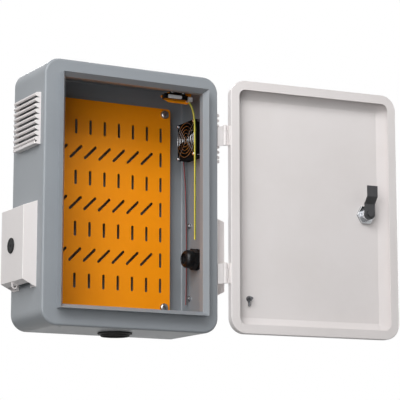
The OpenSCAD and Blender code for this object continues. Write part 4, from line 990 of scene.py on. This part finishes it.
round_section = [(math.cos(a) * EARTH_D / 2, math.sin(a) * EARTH_D / 2)
                 for a in (math.radians(22.5 * k) for k in range(16))]
earth_line = smooth_route(EARTH_ROUTE)
earth_mesh = sweep("earth_lead", earth_line, round_section, Vector((0, 1, 0)),
                   lambda k: 1 if k % 16 in (0, 15, 7, 8) else 0)
earth_lead = new_object("earth_lead", earth_mesh, earth_yellow, earth_green)
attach(earth_lead, "cabinet")
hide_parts("earth_wire")

# Two round cores side by side, joined where they touch.
CORE_R = LEAD_W / 4
twin_section = ([(CORE_R + CORE_R * math.cos(a), CORE_R * math.sin(a))
                 for a in (math.radians(-150 + 30 * k) for k in range(11))]
                + [(-CORE_R + CORE_R * math.cos(a), CORE_R * math.sin(a))
                   for a in (math.radians(30 + 30 * k) for k in range(11))])
lead_line = smooth_route(LEAD_ROUTE)
lead_mesh = sweep("fan_twin_lead", lead_line, twin_section, Vector((0, 1, 0)),
                  lambda k: 0 if k < 11 else 1)
fan_twin_lead = new_object("fan_twin_lead", lead_mesh, lead_red, lead_black)
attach(fan_twin_lead, "cabinet")
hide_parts("fan_lead")
print("earth wire and fan lead:", [round(route_length(line), 3) for line in (earth_line, lead_line)], "m")

# %% [markdown]
# ## Studio
# The photograph's light comes mostly from a wide bright area at the upper left, so the strongest of the
# square lamps in front stand there. Weaker ones light the other sides, two stand behind, and the world
# adds a little all round. What the camera and the reflections see behind the object is plain white.

# %% Lights, floor and world
def area_light(name, place, target, size, power):
    """Square lamp that faces the target."""
    lamp = bpy.data.lights.new(name, "AREA")
    lamp.shape = "SQUARE"
    lamp.size = size
    lamp.energy = power
    holder = bpy.data.objects.new(name, lamp)
    holder.location = place
    holder.rotation_mode = "QUATERNION"
    holder.rotation_quaternion = (Vector(target) - Vector(place)).to_track_quat("-Z", "Y")
    bpy.context.scene.collection.objects.link(holder)


LIT_POINT = Vector((0.2, -0.1, 0))
LAMP_DISTANCE, LAMP_SIZE = 3.2, 1.6
SOFT_WORLD, FLOOR_HEIGHT, FLOOR_GLOW = 0.045, -1.3, 0.55
# Degrees to the left of the front, degrees above level, and watts.
for lamp_name, left, above, watts in (("window_light", 58, 30, 40), ("upper_light", 30, 38, 41),
                                      ("front_light", 45, 2, 35), ("side_light", 75, 0, 7),
                                      ("top_light", 0, 40, 8), ("right_light", -40, 30, 9),
                                      ("low_light", 20, -15, 2), ("back_light", -158, 20, 60),
                                      ("back_right_light", -120, 10, 20)):
    az, el = math.radians(left), math.radians(above)
    away = Vector((-math.sin(az) * math.cos(el), -math.cos(az) * math.cos(el), math.sin(el)))
    area_light(lamp_name, LIT_POINT + LAMP_DISTANCE * away, LIT_POINT, LAMP_SIZE, watts)

world = bpy.data.worlds.new("studio")
bpy.context.scene.world = world
world.use_nodes = True
tree = world.node_tree
background = tree.nodes["Background"]
light_path = tree.nodes.new("ShaderNodeLightPath")
seen = tree.nodes.new("ShaderNodeMath")
seen.operation = "MAXIMUM"
seen_through = tree.nodes.new("ShaderNodeMath")
seen_through.operation = "MAXIMUM"
level = tree.nodes.new("ShaderNodeMapRange")
level.inputs["To Min"].default_value = SOFT_WORLD
level.inputs["To Max"].default_value = 1.0
tree.links.new(light_path.outputs["Is Camera Ray"], seen.inputs[0])
tree.links.new(light_path.outputs["Is Glossy Ray"], seen.inputs[1])
tree.links.new(seen.outputs["Value"], seen_through.inputs[0])
tree.links.new(light_path.outputs["Is Transmission Ray"], seen_through.inputs[1])
tree.links.new(seen_through.outputs["Value"], level.inputs["Value"])
tree.links.new(level.outputs["Result"], background.inputs["Strength"])
background.inputs["Color"].default_value = (1, 1, 1, 1)

bm = bmesh.new()
bmesh.ops.create_grid(bm, x_segments=8, y_segments=8, size=5)
bmesh.ops.translate(bm, verts=bm.verts, vec=(0, 0, FLOOR_HEIGHT))
floor_mesh = bpy.data.meshes.new("floor")
bm.to_mesh(floor_mesh)
bm.free()
floor_paint = finish("pale_floor", "F2F1EF", "ECEBE8", 0.7, 0.85, size=1, amount=0.3)
# The eye and the reflections see a pale floor that still keeps its shadow, and what the floor throws
# back as soft light is kept low, because the photograph's cabinet hangs high above it.
floor_tree = floor_paint.node_tree
floor_shader = floor_tree.nodes["Principled BSDF"]
floor_colour = floor_shader.inputs["Base Color"].links[0].from_socket
path = floor_tree.nodes.new("ShaderNodeLightPath")
dimmed = floor_tree.nodes.new("ShaderNodeMix")
dimmed.data_type = "RGBA"
dimmed.inputs["B"].default_value = screen("707070")
floor_tree.links.new(path.outputs["Is Diffuse Ray"], dimmed.inputs["Factor"])
floor_tree.links.new(floor_colour, dimmed.inputs["A"])
floor_tree.links.new(dimmed.outputs["Result"], floor_shader.inputs["Base Color"])
pale = floor_tree.nodes.new("ShaderNodeMath")
pale.operation = "MULTIPLY"
pale.inputs[1].default_value = FLOOR_GLOW
floor_tree.links.new(path.outputs["Is Camera Ray"], pale.inputs[0])
floor_shader.inputs["Emission Color"].default_value = screen("F2F1EF")
floor_tree.links.new(pale.outputs["Value"], floor_shader.inputs["Emission Strength"])
floor = new_object("floor", floor_mesh, floor_paint)
